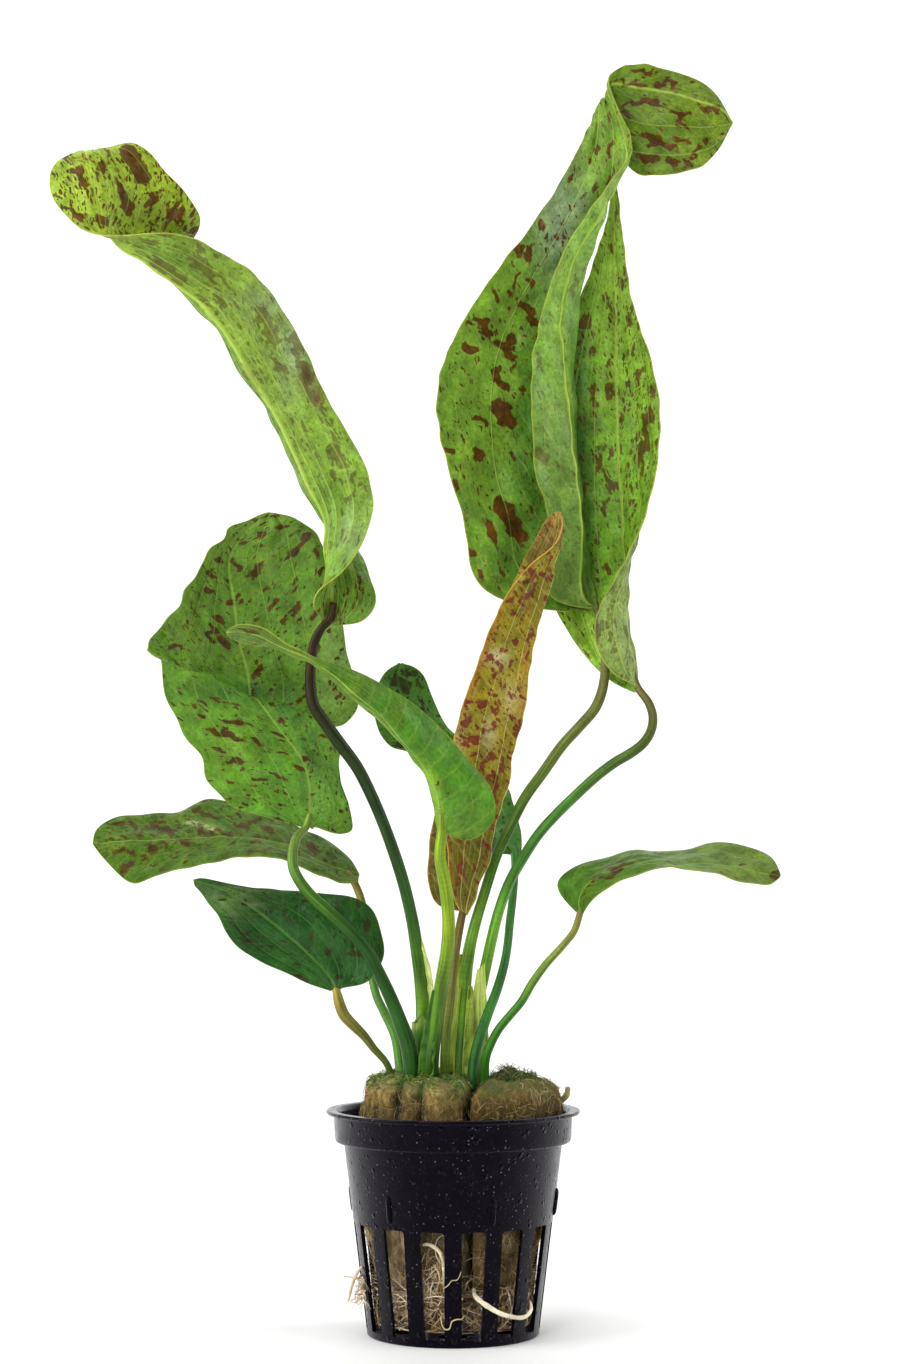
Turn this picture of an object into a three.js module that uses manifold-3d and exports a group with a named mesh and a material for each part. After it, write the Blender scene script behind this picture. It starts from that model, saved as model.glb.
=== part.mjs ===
// An aquarium sword plant in its slotted net pot, in millimetres, +Z up, front towards -Y.
// Ten leaves, each one piece with its stalk, stand in two blocks of mineral wool inside the pot.
// The origin is the middle of the pot's underside.

import * as THREE from "three";
import { mergeVertices } from "three/addons/utils/BufferGeometryUtils.js";
import Module from "manifold-3d";

const wasm = await Module();
wasm.setup();

// Driving dimensions
const POT = {
  height: 48.1,
  rimRadius: 27.5,
  rimThickness: 0.9,
  collarRadius: 25.7,
  collarFoot: 41.3,
  wallTopRadius: 23.7,
  baseRadius: 18.55,
  wall: 0.95,
  floor: 1.4,
  slots: 15,
  slotFoot: 1.7,
  slotHead: 24.4,
  slotFootWidth: 4.2,
  slotHeadWidth: 5.4,
  slotCorner: 0.4,
  facets: 30,
  floorHoles: 6,
  floorHoleRadius: 3.1,
  floorHoleCircle: 12.2,
  holeSides: 8,
  ribs: 6,
  ribPlace: 0.375,
  ribWidth: 0.7,
  ribStand: 0.45,
  ribFoot: 25.6,
  ribHead: 31.5,
};
const CUT_DEPTH = 12;
const WOOL = {
  foot: 10.8,
  splitX: 5.2,
  splitTurn: -6,
  sides: 20,
  folds: 5,
  foldDepth: 0.018,
};
const BLADE_THICKNESS = 0.8;
const MARGIN_THICKNESS = 0.5;
const STALK_SIDES = 7;
const STALK_FOOT = 52.6;
const STUB_STEPS = 4;
const SHEATH_STEPS = 4;
const ROOT_STEPS = 6;
const ROOT_MAT_SIDES = 16;
const ROOT_MAT_WAVE = 0.06;
const GAP = 0.3;
const HOLE_SWELL = 0.5;
const HOLE_REACH = 0.35;
const MERGE_DISTANCE = 1e-4;

// Leaves are laid out as they show from a point in front of the pot, a little above the rim.
// A mark is [across, up, depth]: where it shows on an upright sheet through the pot's axis,
// square to the line of sight, and how far behind (+) or before (-) the axis it really lies.
const EYE = new THREE.Vector3(0.3, -600, 105);
const SIGHT_RISE = THREE.MathUtils.degToRad(3.43);
const SHEET_DISTANCE = 601;
const SHEET_CENTRE = 142.6;
const FORWARD = new THREE.Vector3(0, Math.cos(SIGHT_RISE), Math.sin(SIGHT_RISE));
const UPWARD = new THREE.Vector3(0, -Math.sin(SIGHT_RISE), Math.cos(SIGHT_RISE));

function placed([across, up, depth]) {
  const ray = FORWARD.clone()
    .multiplyScalar(SHEET_DISTANCE)
    .addScaledVector(UPWARD, up - SHEET_CENTRE)
    .add(new THREE.Vector3(across, 0, 0));
  return EYE.clone().addScaledVector(ray, (depth - EYE.y) / ray.y);
}

const smooth = (points) => new THREE.CatmullRomCurve3(points);

// Solids

function toSolid(geometry) {
  const bare = geometry.clone();
  bare.deleteAttribute("normal");
  bare.deleteAttribute("uv");
  const merged = mergeVertices(bare, MERGE_DISTANCE);
  const mesh = new wasm.Mesh({
    numProp: 3,
    vertProperties: new Float32Array(merged.attributes.position.array),
    triVerts: new Uint32Array(merged.index.array),
  });
  return new wasm.Manifold(mesh);
}

function toGeometry(solid) {
  const mesh = solid.getMesh();
  const geometry = new THREE.BufferGeometry();
  geometry.setAttribute("position", new THREE.BufferAttribute(new Float32Array(mesh.vertProperties), 3));
  geometry.setIndex(new THREE.BufferAttribute(new Uint32Array(mesh.triVerts), 1));
  geometry.computeVertexNormals();
  return geometry;
}

function closedGeometry(points, triangles) {
  const flat = points.flatMap((p) => [p.x, p.y, p.z]);
  let volume = 0;
  for (const [a, b, c] of triangles) {
    volume += points[a].dot(points[b].clone().cross(points[c]));
  }
  const outward = volume > 0 ? triangles : triangles.map(([a, b, c]) => [a, c, b]);
  const geometry = new THREE.BufferGeometry();
  geometry.setAttribute("position", new THREE.Float32BufferAttribute(flat, 3));
  geometry.setIndex(outward.flat());
  return geometry;
}

// Rings of equal count, joined side to side and closed with a fan at each end.
function ringsSolid(rings) {
  const sides = rings[0].length;
  const points = rings.flat();
  const triangles = [];
  for (let i = 0; i + 1 < rings.length; i++) {
    for (let k = 0; k < sides; k++) {
      const a = i * sides + k;
      const b = i * sides + ((k + 1) % sides);
      triangles.push([a, b, b + sides], [a, b + sides, a + sides]);
    }
  }
  for (const [start, flip] of [[0, true], [(rings.length - 1) * sides, false]]) {
    const middle = new THREE.Vector3();
    for (let k = 0; k < sides; k++) middle.add(points[start + k]);
    points.push(middle.divideScalar(sides));
    const m = points.length - 1;
    for (let k = 0; k < sides; k++) {
      const a = start + k;
      const b = start + ((k + 1) % sides);
      triangles.push(flip ? [m, b, a] : [m, a, b]);
    }
  }
  return toSolid(closedGeometry(points, triangles));
}

// A round stalk through marks of [across, up, depth, width], made thicker all over by swell.
function stalkSolid(marks, steps, swell = 0) {
  const curve = smooth(marks.map(placed));
  const frames = curve.computeFrenetFrames(steps, false);
  const rings = [];
  for (let i = 0; i <= steps; i++) {
    const centre = curve.getPointAt(i / steps);
    const place = curve.getUtoTmapping(i / steps) * (marks.length - 1);
    const low = Math.min(Math.floor(place), marks.length - 2);
    const width = THREE.MathUtils.lerp(marks[low][3], marks[low + 1][3], place - low);
    const ring = [];
    for (let k = 0; k < STALK_SIDES; k++) {
      const turn = (k / STALK_SIDES) * 2 * Math.PI;
      ring.push(
        centre.clone()
          .addScaledVector(frames.normals[i], (width / 2 + swell) * Math.cos(turn))
          .addScaledVector(frames.binormals[i], (width / 2 + swell) * Math.sin(turn)),
      );
    }
    rings.push(ring);
  }
  return ringsSolid(rings);
}

// The middle surface of a blade whose rows of marks run across it, from its base to its tip.
function bladePoints(rows, along, across) {
  const columns = rows[0].map((_, k) => smooth(rows.map((row) => placed(row[k]))));
  const grid = [];
  for (let i = 0; i <= along; i++) {
    const section = smooth(columns.map((column) => column.getPoint(i / along)));
    const line = [];
    for (let k = 0; k <= across; k++) line.push(section.getPoint(k / across));
    grid.push(line);
  }
  return grid;
}

// A thin closed blade: the middle surface moved out to both sides, and closed round its edge.
function bladeSolid(rows, along, across) {
  const grid = bladePoints(rows, along, across);
  const at = (i, k) => grid[THREE.MathUtils.clamp(i, 0, along)][THREE.MathUtils.clamp(k, 0, across)];
  const faces = [[], []];
  for (let i = 0; i <= along; i++) {
    for (let k = 0; k <= across; k++) {
      const lengthways = at(i + 1, k).clone().sub(at(i - 1, k));
      const sideways = at(i, k + 1).clone().sub(at(i, k - 1));
      const normal = lengthways.cross(sideways).normalize();
      const fromMargin = 1 - Math.abs((2 * k) / across - 1);
      const thickness = THREE.MathUtils.lerp(MARGIN_THICKNESS, BLADE_THICKNESS, fromMargin);
      faces[0].push(at(i, k).clone().addScaledVector(normal, thickness / 2));
      faces[1].push(at(i, k).clone().addScaledVector(normal, -thickness / 2));
    }
  }
  const width = across + 1;
  const back = faces[0].length;
  const triangles = [];
  for (let i = 0; i < along; i++) {
    for (let k = 0; k < across; k++) {
      const a = i * width + k;
      const [b, c, d] = [a + 1, a + width + 1, a + width];
      triangles.push([a, b, c], [a, c, d], [a + back, c + back, b + back], [a + back, d + back, c + back]);
    }
  }
  const rim = [];
  for (let k = 0; k < across; k++) rim.push(k);
  for (let i = 0; i < along; i++) rim.push(i * width + across);
  for (let k = across; k > 0; k--) rim.push(along * width + k);
  for (let i = along; i > 0; i--) rim.push(i * width);
  rim.forEach((a, n) => {
    const b = rim[(n + 1) % rim.length];
    triangles.push([a, a + back, b + back], [a, b + back, b]);
  });
  return toSolid(closedGeometry([...faces[0], ...faces[1]], triangles));
}

// Leaves, each with its stalk from the wool up to the blade, its blade from base to tip and,
// where one shows, the thin sheath at the side of its stalk. The rows of a blade run from its
// left margin to its right one, and cross over where the blade turns its underside to the front.
// A leaf leans back, or forward where lean is below 0, by that much for each mm above its foot.

const LEAVES = {
  leaf_tall_left: {
    colour: "#79b52f",
    steps: 17,
    along: 21,
    across: 4,
    lean: -0.11,
    stalk: [
      [-7.4, STALK_FOOT, 3.6, 3.3], [-7.3, 62, 4.4, 3.3], [-6.9, 70, 4.8, 3.2], [-7.3, 77, 4, 3.1],
      [-8.4, 85, 2.4, 2.8], [-9.4, 91, 0.6, 2.6], [-11.6, 100, -2, 2.6], [-15.1, 110.3, -3.4, 2.5],
      [-18.1, 117.5, -4.2, 2.5], [-21.4, 124, -5, 2.6], [-25.5, 129.6, -5.6, 2.7], [-28.3, 133.6, -6, 2.6],
      [-30.9, 137.6, -6.3, 2.5], [-31.6, 142, -6.5, 2.3], [-31.4, 147, -6.6, 2.2], [-30.6, 151.5, -6.6, 2],
      [-29, 154.6, -6.6, 1.8], [-27.3, 156.3, -6.2, 1.6], [-26.6, 160, -5.6, 1.3],
    ],
    blade: [
      [[-28.6, 155.9, -5.6], [-27.4, 155.6, -6], [-26.2, 155.2, -5.6]],
      [[-31, 158.5, -7.5], [-27, 158.3, -5], [-20.5, 155, -7.5]],
      [[-30.6, 161.8, -9.5], [-26.8, 162.3, -5], [-16.9, 159.8, -7]],
      [[-26, 165.6, -11.5], [-27, 167.5, -5], [-18.5, 165.3, -3]],
      [[-20.4, 171.8, -11], [-27.6, 173, -5.5], [-20.5, 171, 3.5]],
      [[-17.8, 181, -7], [-28.5, 178.5, -6], [-28.6, 177.5, 3]],
      [[-19.8, 190.5, -2], [-32.3, 187, -5.5], [-34.4, 189.5, 4.5]],
      [[-28, 205, 3], [-38.5, 200, -4.5], [-41.5, 204, 5]],
      [[-34.8, 219.5, 5], [-46, 212.5, -4], [-50.2, 218, 5]],
      [[-43.5, 231.7, 3], [-54, 224.5, -4], [-58.6, 227.6, 5]],
      [[-51, 236.6, -1], [-61.5, 230.2, -4], [-63, 232.5, 6]],
      [[-58.6, 240.3, -5.5], [-68.5, 235.5, -3.5], [-62, 237, 8.5]],
      [[-68.5, 240.9, -8], [-74.6, 238.5, -2.5], [-57, 240, 9.5]],
      [[-79, 240.5, -6], [-76, 242.6, 0], [-55.6, 243.6, 8]],
      [[-85.3, 244.8, -2.5], [-74, 247.5, 1], [-57.8, 248.3, 6]],
      [[-88.9, 251, 0.5], [-75, 254, 1], [-63.6, 254.8, 4]],
      [[-87.2, 257.2, 2.5], [-78.3, 259.2, 1.5], [-69.6, 260.8, 3]],
      [[-81, 258, 6], [-79, 258.6, 6], [-77, 259.2, 6]],
    ],
    sheath: [
      [[-7.2, 72, 3.8], [-4.6, 71.4, 3.2]],
      [[-7.4, 79, 2.8], [-4.9, 78, 2]],
      [[-8.2, 85.6, 1.6], [-7, 85.8, 1]],
    ],
  },
  leaf_big_back_left: {
    colour: "#4f9a33",
    steps: 14,
    along: 16,
    across: 6,
    lean: -0.14,
    stalk: [
      [-9.2, STALK_FOOT, -6, 3.7], [-9.4, 59, -6.2, 3.6], [-10.2, 63.5, -6.6, 3.4], [-11.9, 68.3, -7, 3.1],
      [-13.9, 73.3, -7.6, 2.9], [-16.5, 78.8, -8, 2.8], [-19.3, 83.9, -8.3, 2.7], [-23.3, 88.3, -8.4, 2.6],
      [-27.9, 92.6, -8.2, 2.6], [-31.2, 95.6, -7.6, 2.5], [-33.9, 99, -6.6, 2.4], [-35.3, 102, -5.4, 2.3],
      [-35.4, 105.5, -3.8, 2.2], [-34.5, 108.6, -1.6, 2], [-32.7, 110.6, 0.8, 1.8], [-31.8, 113.5, 2.4, 1.4],
    ],
    blade: [
      [[-33, 110.7, 1.6], [-31.8, 110.9, 1.4], [-30.6, 111.1, 1.6]],
      [[-40, 112.7, 0.5], [-31.8, 113.8, 2.6], [-26, 109.1, 3.5]],
      [[-47.5, 114.8, -0.5], [-31.6, 118.5, 2.6], [-22.4, 109.9, 5.5]],
      [[-53, 119, -1], [-33, 125, 2.4], [-23.9, 117.5, 6.5]],
      [[-55.8, 126, -1.5], [-37, 130.7, 2], [-25.4, 124, 6.5]],
      [[-60, 133.2, -2], [-40.6, 135.2, 1.6], [-25, 128.3, 6]],
      [[-64.2, 139.5, -3], [-43.2, 138.8, 1.4], [-27, 131, 5]],
      [[-63.8, 147.8, -4.5], [-45.2, 140.9, 2.6], [-30, 134.5, 6]],
      [[-65.8, 148.4, -6], [-44.6, 138.6, 7], [-24.3, 132.5, 9.5]],
      [[-67.6, 150.3, -5.5], [-45.4, 144.5, 9.5], [-21.2, 138, 9.5]],
      [[-62, 157.5, 0], [-47.4, 153, 9], [-23, 147, 8]],
      [[-57, 165.5, 3], [-48.6, 162, 8], [-25.2, 158, 7.5]],
      [[-53.5, 171.8, 5], [-49.4, 169.5, 7.5], [-27.8, 171, 7]],
      [[-48.5, 176.5, 6.5], [-45.5, 175.6, 7.5], [-32, 176.9, 7.5]],
      [[-42.5, 179.6, 8], [-41, 179.8, 8], [-39, 179.9, 8]],
    ],
  },
  leaf_level_left: {
    colour: "#5c8a35",
    steps: 9,
    along: 11,
    across: 4,
    lean: 0.35,
    stalk: [
      [-11.4, STALK_FOOT, 3.8, 2.3], [-11.9, 58, 4.2, 2.2], [-13, 65, 5.2, 2.1], [-15.4, 70.3, 6.2, 2],
      [-17.1, 74, 6.8, 1.9], [-18.4, 80, 7.6, 1.8], [-19, 87, 8.4, 1.8], [-20.3, 94.5, 9.2, 1.8],
      [-21.9, 98.6, 9.8, 1.8], [-23.6, 101, 10, 1.5],
    ],
    blade: [
      [[-20.8, 100.3, 10.6], [-21, 99.6, 10], [-21.1, 98.7, 9.4]],
      [[-22.8, 104, 13], [-24, 101.2, 9.6], [-24, 98.5, 6]],
      [[-28.2, 107.8, 16], [-29.5, 103.5, 9.5], [-29.5, 100.1, 4.5]],
      [[-36, 111.6, 18], [-37, 107, 10], [-37.5, 103.7, 4]],
      [[-45.5, 114.9, 19], [-46, 108.5, 10.5], [-46, 104.4, 4]],
      [[-54, 117.2, 19], [-54, 108.3, 10.5], [-54, 102.9, 3.5]],
      [[-59, 114.6, 18], [-61, 108, 9.5], [-61, 101.4, 3]],
      [[-66, 113.5, 17], [-67, 107.7, 9], [-66.5, 99.8, 3]],
      [[-73.5, 113.3, 15], [-72.6, 107.5, 9], [-70, 98, 3]],
      [[-78.4, 110.6, 12], [-76.8, 107.3, 9], [-75.2, 102, 5.5]],
      [[-79.4, 107.9, 9.6], [-79.3, 107.2, 9.2], [-79.1, 106.3, 8.8]],
    ],
  },
  leaf_low_left: {
    colour: "#2f7a2e",
    steps: 9,
    along: 9,
    across: 4,
    lean: -0.2,
    stalk: [
      [-12.6, STALK_FOOT, -1.6, 1.4], [-14.9, 59, -1.8, 1.5], [-17.8, 62.4, -2, 1.6], [-19.7, 64.9, -2, 2],
      [-22, 67.2, -2, 2.3], [-24.2, 69.6, -2, 2.6], [-25.3, 72.4, -1.8, 2.6], [-26, 75.5, -1.4, 2.3],
      [-27.6, 78.4, -0.6, 1.4],
    ],
    blade: [
      [[-27.2, 74.9, -1.6], [-26, 75.4, -1.4], [-24.7, 75.7, -1.6]],
      [[-32, 76.4, -2.6], [-27.4, 78.2, -0.6], [-19.5, 76.2, -1.6]],
      [[-38, 79.4, -3.4], [-30.5, 81.5, -0.4], [-16, 80.3, -0.6]],
      [[-44, 82, -4], [-34.5, 85.4, -0.6], [-15.6, 86.6, 1]],
      [[-49, 86, -4.6], [-39.5, 89.6, -1.2], [-19.5, 94.6, 2.6]],
      [[-51.6, 91, -5.2], [-45, 93.8, -2.2], [-30, 96.3, 2.4]],
      [[-54.2, 94.6, -5.8], [-50.5, 97, -4], [-42, 97.1, 0]],
      [[-57.4, 98.5, -7], [-57.2, 99.3, -6.8], [-56.4, 100, -6.4]],
    ],
  },
  leaf_arching_front: {
    colour: "#55a531",
    steps: 9,
    along: 14,
    across: 4,
    lean: -0.3,
    stalk: [
      [-5.2, STALK_FOOT, -6.6, 3.4], [-5, 60, -6.8, 3.2], [-4.3, 66, -7, 3], [-3.6, 72, -7.4, 2.9],
      [-2.6, 78, -7.8, 3], [-1.6, 84, -8.2, 2.9], [-1.3, 90, -8.6, 2.7], [-2, 97.5, -9, 2.7],
      [-3.2, 104.5, -9.2, 2.4], [-2.7, 110.5, -9.4, 2.2], [-2.8, 115, -10.4, 1.6],
    ],
    blade: [
      [[-3.7, 110.2, -8.6], [-2.6, 109.9, -9.4], [-1.5, 109.5, -8.8]],
      [[-4.3, 113, -7.5], [-2.7, 113, -10.2], [2.5, 107.5, -9.4]],
      [[-5, 118.5, -7], [-3.6, 117.5, -11.4], [8.3, 111.2, -8.6]],
      [[-7.5, 124, -7.6], [-6.3, 123, -12.6], [8.7, 118.2, -8.2]],
      [[-12, 129.6, -9], [-10.5, 128.8, -14], [3, 125.4, -8.6]],
      [[-17, 134.4, -11], [-15.3, 134.3, -15.4], [-4.5, 134.1, -10]],
      [[-23, 139.6, -13], [-21, 139.5, -16.4], [-14, 141.3, -12]],
      [[-28, 144, -14.4], [-26.7, 144.2, -16.8], [-23.5, 145.7, -14]],
      [[-32.2, 146.9, -15.4], [-31.4, 147.4, -16], [-30, 147.7, -15.4]],
      [[-38, 149.5, -14.4], [-37.6, 150.4, -15.6], [-36.6, 151, -16]],
      [[-44, 150.7, -13.6], [-43.4, 152.8, -15.6], [-42.6, 154.8, -16]],
      [[-48.4, 151.6, -13.4], [-47.6, 153.6, -15], [-46.8, 155.7, -15.4]],
      [[-50.1, 153, -13.8], [-50.1, 153.5, -14], [-49.9, 154.1, -14.2]],
    ],
  },
  leaf_dark_back: {
    colour: "#2c6b2c",
    steps: 9,
    along: 9,
    across: 4,
    lean: 0.22,
    stalk: [
      [3.6, STALK_FOOT, -4.2, 2.3], [4.3, 60, -4.4, 2.3], [5.6, 65, -4.6, 2.3], [7.3, 70, -4.2, 2.2],
      [9.2, 75, -2.8, 2.1], [10.8, 80.5, -0.4, 2], [11.6, 85, 2, 1.9], [12.1, 90, 4.4, 1.9],
      [12.9, 97, 7, 1.8], [13.2, 102, 8, 1.7], [12.8, 106.5, 8.8, 1.4],
    ],
    blade: [
      [[12.7, 104.8, 8.4], [13.5, 104.5, 8.2], [14.3, 104.2, 8.4]],
      [[6, 105.4, 9.4], [11.6, 107.3, 8.8], [14.9, 107, 9.4]],
      [[0.5, 110.5, 11], [7, 113, 11], [13.4, 114.4, 12]],
      [[-3.5, 118.5, 12], [2.5, 120.5, 13], [10.5, 121.6, 14]],
      [[-8.6, 126.4, 12], [-3, 128.3, 14], [4.5, 128.5, 15]],
      [[-14.8, 129, 11], [-8, 134, 14], [-1.6, 132.6, 15]],
      [[-17.8, 136, 10], [-11.5, 139.5, 13], [-4.7, 139, 14]],
      [[-16.5, 143.8, 11], [-12.7, 143.8, 13], [-7.4, 145.4, 13]],
      [[-12.6, 146.5, 12], [-11.8, 146.6, 12.3], [-10.8, 146.7, 12]],
    ],
  },
  leaf_young_rolled: {
    colour: "#93852f",
    steps: 7,
    along: 12,
    across: 4,
    lean: -0.02,
    stalk: [
      [-1.8, STALK_FOOT, -3.2, 2], [-2, 60, -3.2, 2], [-1.8, 66, -3.2, 2], [-1.2, 71, -3.2, 2],
      [-0.6, 76, -3, 1.9], [0, 81, -2.8, 1.8], [0.7, 86, -2.4, 1.8], [1.7, 91.5, -1.8, 1.8],
      [3, 96.5, -1.2, 1.5],
    ],
    blade: [
      [[0.9, 92.6, -0.8], [1.9, 92, -1.6], [1.2, 92.5, -2.6]],
      [[-4, 93.3, 1], [3.4, 95, -1], [-0.6, 96, -4.2]],
      [[-5.8, 99, 2], [5, 99.5, -0.6], [-1.2, 101, -4.8]],
      [[-5.6, 106, 2.4], [7, 105, -0.2], [-1.8, 107, -5]],
      [[-4.3, 114, 2.8], [8.7, 112.5, 0], [-1.8, 114, -4.8]],
      [[-2.4, 123, 3], [11.2, 121.5, 0.5], [-1, 123, -4.4]],
      [[0.8, 133, 3.4], [13.5, 132.5, 1], [0.5, 133, -4]],
      [[4.2, 143.5, 3.8], [15.6, 143, 1.5], [3.9, 143.5, -3.5]],
      [[8.2, 155, 4], [17.9, 154.5, 2], [8.2, 155, -3]],
      [[12.8, 164.5, 4], [20.2, 164, 2.5], [12.9, 164, -2.2]],
      [[16.8, 172, 4.2], [22.4, 171, 3], [19, 170.3, -0.6]],
      [[19.8, 177.8, 4.2], [24.1, 176.5, 3], [23.3, 174.5, 1]],
      [[22.1, 180.4, 4], [23.2, 179.9, 3.4], [23.9, 179, 2.8]],
    ],
  },
  leaf_tall_right_front: {
    colour: "#5fa733",
    steps: 15,
    along: 19,
    across: 6,
    lean: 0.07,
    stalk: [
      [0.8, STALK_FOOT, -0.2, 4], [0.9, 60, -0.2, 4], [1.4, 66, -0.2, 3.6], [1.9, 72, -0.4, 3.3],
      [2.5, 79, -0.8, 3], [3.5, 85, -1, 2.6], [4.7, 90, -1.2, 2.4], [6.2, 95, -1.4, 2.3],
      [9.3, 104.6, -1.2, 2.3], [12.3, 111, -0.8, 2.3], [15.5, 117.2, -0.2, 2.4], [19.7, 123.1, 0.8, 2.4],
      [23.6, 128.6, 2, 2.4], [27.6, 133, 3.2, 2.4], [30.7, 136.6, 4, 2.4], [32.2, 140, 4.6, 2.3],
      [33, 144.5, 5.2, 2.1], [32.9, 150, 6, 2], [32, 155, 7.2, 1.8], [30.8, 160, 8.8, 1.5],
      [29.8, 164, 10, 1.3],
    ],
    blade: [
      [[30.2, 158, 9.6], [30.7, 158, 9], [31.1, 158.4, 8.6], [30.8, 158.4, 8], [30.2, 158.6, 7.4]],
      [[22, 158.2, 10], [27, 159.6, 10.4], [30.4, 162.6, 10], [27.6, 160.4, 7.6], [24.5, 159.6, 6]],
      [[10, 160.6, 10], [21, 163, 11.8], [29.6, 167, 12], [26.8, 165.4, 8.2], [20.6, 161.8, 6.4]],
      [[4.2, 165.4, 9], [16, 169, 12.4], [28.8, 172.4, 13], [27.2, 172.2, 8.4], [21.4, 170, 6.6]],
      [[2.4, 176, 8.4], [14.5, 178, 12.5], [27.9, 180, 13.4], [26.8, 180, 8], [20.4, 179, 6]],
      [[-1.5, 190, 7.6], [11.5, 190, 12.5], [26.8, 190, 14], [25.5, 190, 7.8], [17.6, 189.5, 3.4]],
      [[-3.8, 201, 7.2], [11, 200.5, 12.5], [26.2, 200, 14], [24.5, 200, 7.4], [17.1, 200, 2.2]],
      [[-3, 211, 7.5], [11.5, 211, 12.5], [26, 211, 14], [23.2, 211, 7.4], [16.9, 211.5, 2.2]],
      [[2, 222, 8.2], [14.5, 221.5, 12.5], [26.9, 223, 14], [22.6, 222, 8], [18.7, 221.5, 3.6]],
      [[9.8, 233.5, 9], [19.5, 232, 12], [28.7, 233, 13], [24.7, 233, 8.6], [22.3, 233, 5]],
      [[17, 242.7, 10], [24.5, 241, 11.5], [31.6, 242, 12], [29.2, 242, 8.6], [27.2, 242.5, 6]],
      [[24.3, 254.2, 11.4], [29.5, 252, 11.2], [35, 252, 10.6], [35.2, 251.4, 8.2], [34.2, 252, 6]],
      [[28.4, 262, 13], [31.8, 260, 12], [35.6, 258.4, 10.4], [38, 258.2, 8], [39.1, 260.2, 6]],
      [[31.6, 269, 14.5], [32.4, 268.4, 13.4], [33.8, 267.4, 11.4], [35.5, 266.2, 9], [37, 265.6, 7]],
      [[36.4, 262, 16], [33.4, 267.6, 15], [32.7, 271, 13.2], [32.9, 272.8, 11], [33.6, 273.4, 9]],
      [[38.4, 254.8, 15.6], [37.6, 260.6, 14.6], [35.8, 268.4, 13], [34.3, 273.8, 11.4], [34.6, 276.2, 10.4]],
      [[43, 253.6, 14], [42.5, 259.5, 13], [41.6, 266, 12], [39.8, 273, 11], [38.8, 278, 11]],
      [[50, 254.2, 12.2], [50, 259, 11.2], [49.5, 265.5, 10.4], [48, 271.5, 10.8], [46, 277, 11.8]],
      [[56.2, 256.8, 10.8], [56.5, 260.5, 10.2], [56, 265, 9.8], [55.5, 269, 10.4], [54.7, 273.8, 11.2]],
      [[60.5, 263.4, 10], [60.8, 264.1, 9.9], [61, 264.7, 9.9], [60.8, 265.4, 10], [60.5, 266.3, 10.1]],
    ],
    sheath: [
      [[-3, 57.4, -1.2], [-0.2, 57.4, -1.4]],
      [[-2.9, 60, -1.2], [0, 60, -1.4]],
      [[-2.3, 63.4, -1.2], [0.4, 64.4, -1.4]],
    ],
  },
  leaf_tall_right_back: {
    colour: "#6bb23a",
    steps: 16,
    along: 12,
    across: 6,
    lean: 0.07,
    stalk: [
      [3, STALK_FOOT, 4.2, 2.4], [3.2, 60, 4, 2.5], [3.9, 66, 3.4, 2.6], [4.8, 71, 2.6, 2.6],
      [5.9, 76, 1.6, 2.6], [7, 81, 0.4, 2.5], [8.1, 86, -0.6, 2.4], [9.6, 92, -1.6, 2.3],
      [12, 98.6, -2.2, 2.3], [15, 104, -2.6, 2.3], [18.4, 109.2, -2.8, 2.3], [22.3, 113.6, -2.8, 2.3],
      [26.4, 117.6, -2.6, 2.3], [31.2, 122, -2.4, 2.3], [35.2, 125, -2.2, 2.3], [38.6, 127, -2, 2.3],
      [41.4, 129.2, -1.8, 2.2], [43.1, 132, -1.4, 2.1], [43.5, 135, -1, 2], [42.6, 138, -0.4, 1.9],
      [40.2, 141.4, 0.6, 1.7], [38.8, 145.5, 2.6, 1.4],
    ],
    blade: [
      [[39.2, 140.4, 1.6], [39.7, 140.6, 1.2], [40.1, 141, 0.6], [40, 141.5, -0.2], [39.7, 142, -1]],
      [[34, 142.8, 9], [37, 142.3, 6.4], [39.6, 144, 2.4], [38.2, 144.4, -1.6], [35.5, 143.8, -3.2]],
      [[27.8, 149.2, 13.6], [33, 147.8, 12], [38.4, 149.5, 5.6], [37, 149.8, -1.6], [31.4, 149.4, -3.8]],
      [[22.4, 158, 16], [30.6, 157, 14.4], [37.6, 157, 8], [36, 157, -0.6], [30.9, 157, -3.4]],
      [[19, 166, 17], [29, 165, 16.6], [37.2, 166, 12], [37.4, 166, 3.6], [34.6, 164.3, 0]],
      [[18, 177, 18.4], [28, 177, 18.2], [37, 177, 15.4], [40.6, 177, 9], [40.1, 174.6, 4.6]],
      [[18.5, 190, 18.8], [28, 190, 18.6], [36, 190, 17], [42, 190, 13], [44.3, 189.5, 8.6]],
      [[20, 203, 18.8], [28.5, 203, 18.6], [35.5, 203, 17.6], [41.5, 203, 15], [45, 203, 11]],
      [[23, 215, 18.6], [30, 215, 18.6], [35.5, 215, 18], [39.6, 215, 16.4], [42.7, 214.6, 13.6]],
      [[28, 228, 18.8], [32, 227, 19], [35.3, 226, 18.8], [37.6, 225, 17.8], [39.1, 225, 16.4]],
      [[31.4, 237.5, 19.4], [33.3, 237, 19.6], [35, 237, 19.6], [36.3, 236.6, 19], [37.4, 236.2, 18]],
      [[33.6, 245, 20], [34.3, 245.6, 20], [35, 246, 20], [35.6, 245.6, 20], [36.3, 245, 19.4]],
      [[34.4, 251.4, 20.4], [34.7, 251.6, 20.4], [35, 251.8, 20.4], [35.3, 251.6, 20.4], [35.6, 251.4, 20.4]],
    ],
    sheath: [
      [[3.6, 66, 2.6], [5.6, 66, 2.4]],
      [[3.7, 74, 1.4], [5.9, 74.6, 1]],
      [[5.3, 80.2, 0.6], [6.4, 80.4, 0.4]],
    ],
  },
  leaf_small_right: {
    colour: "#4c8f3a",
    steps: 9,
    along: 11,
    across: 4,
    lean: -0.3,
    stalk: [
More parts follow.
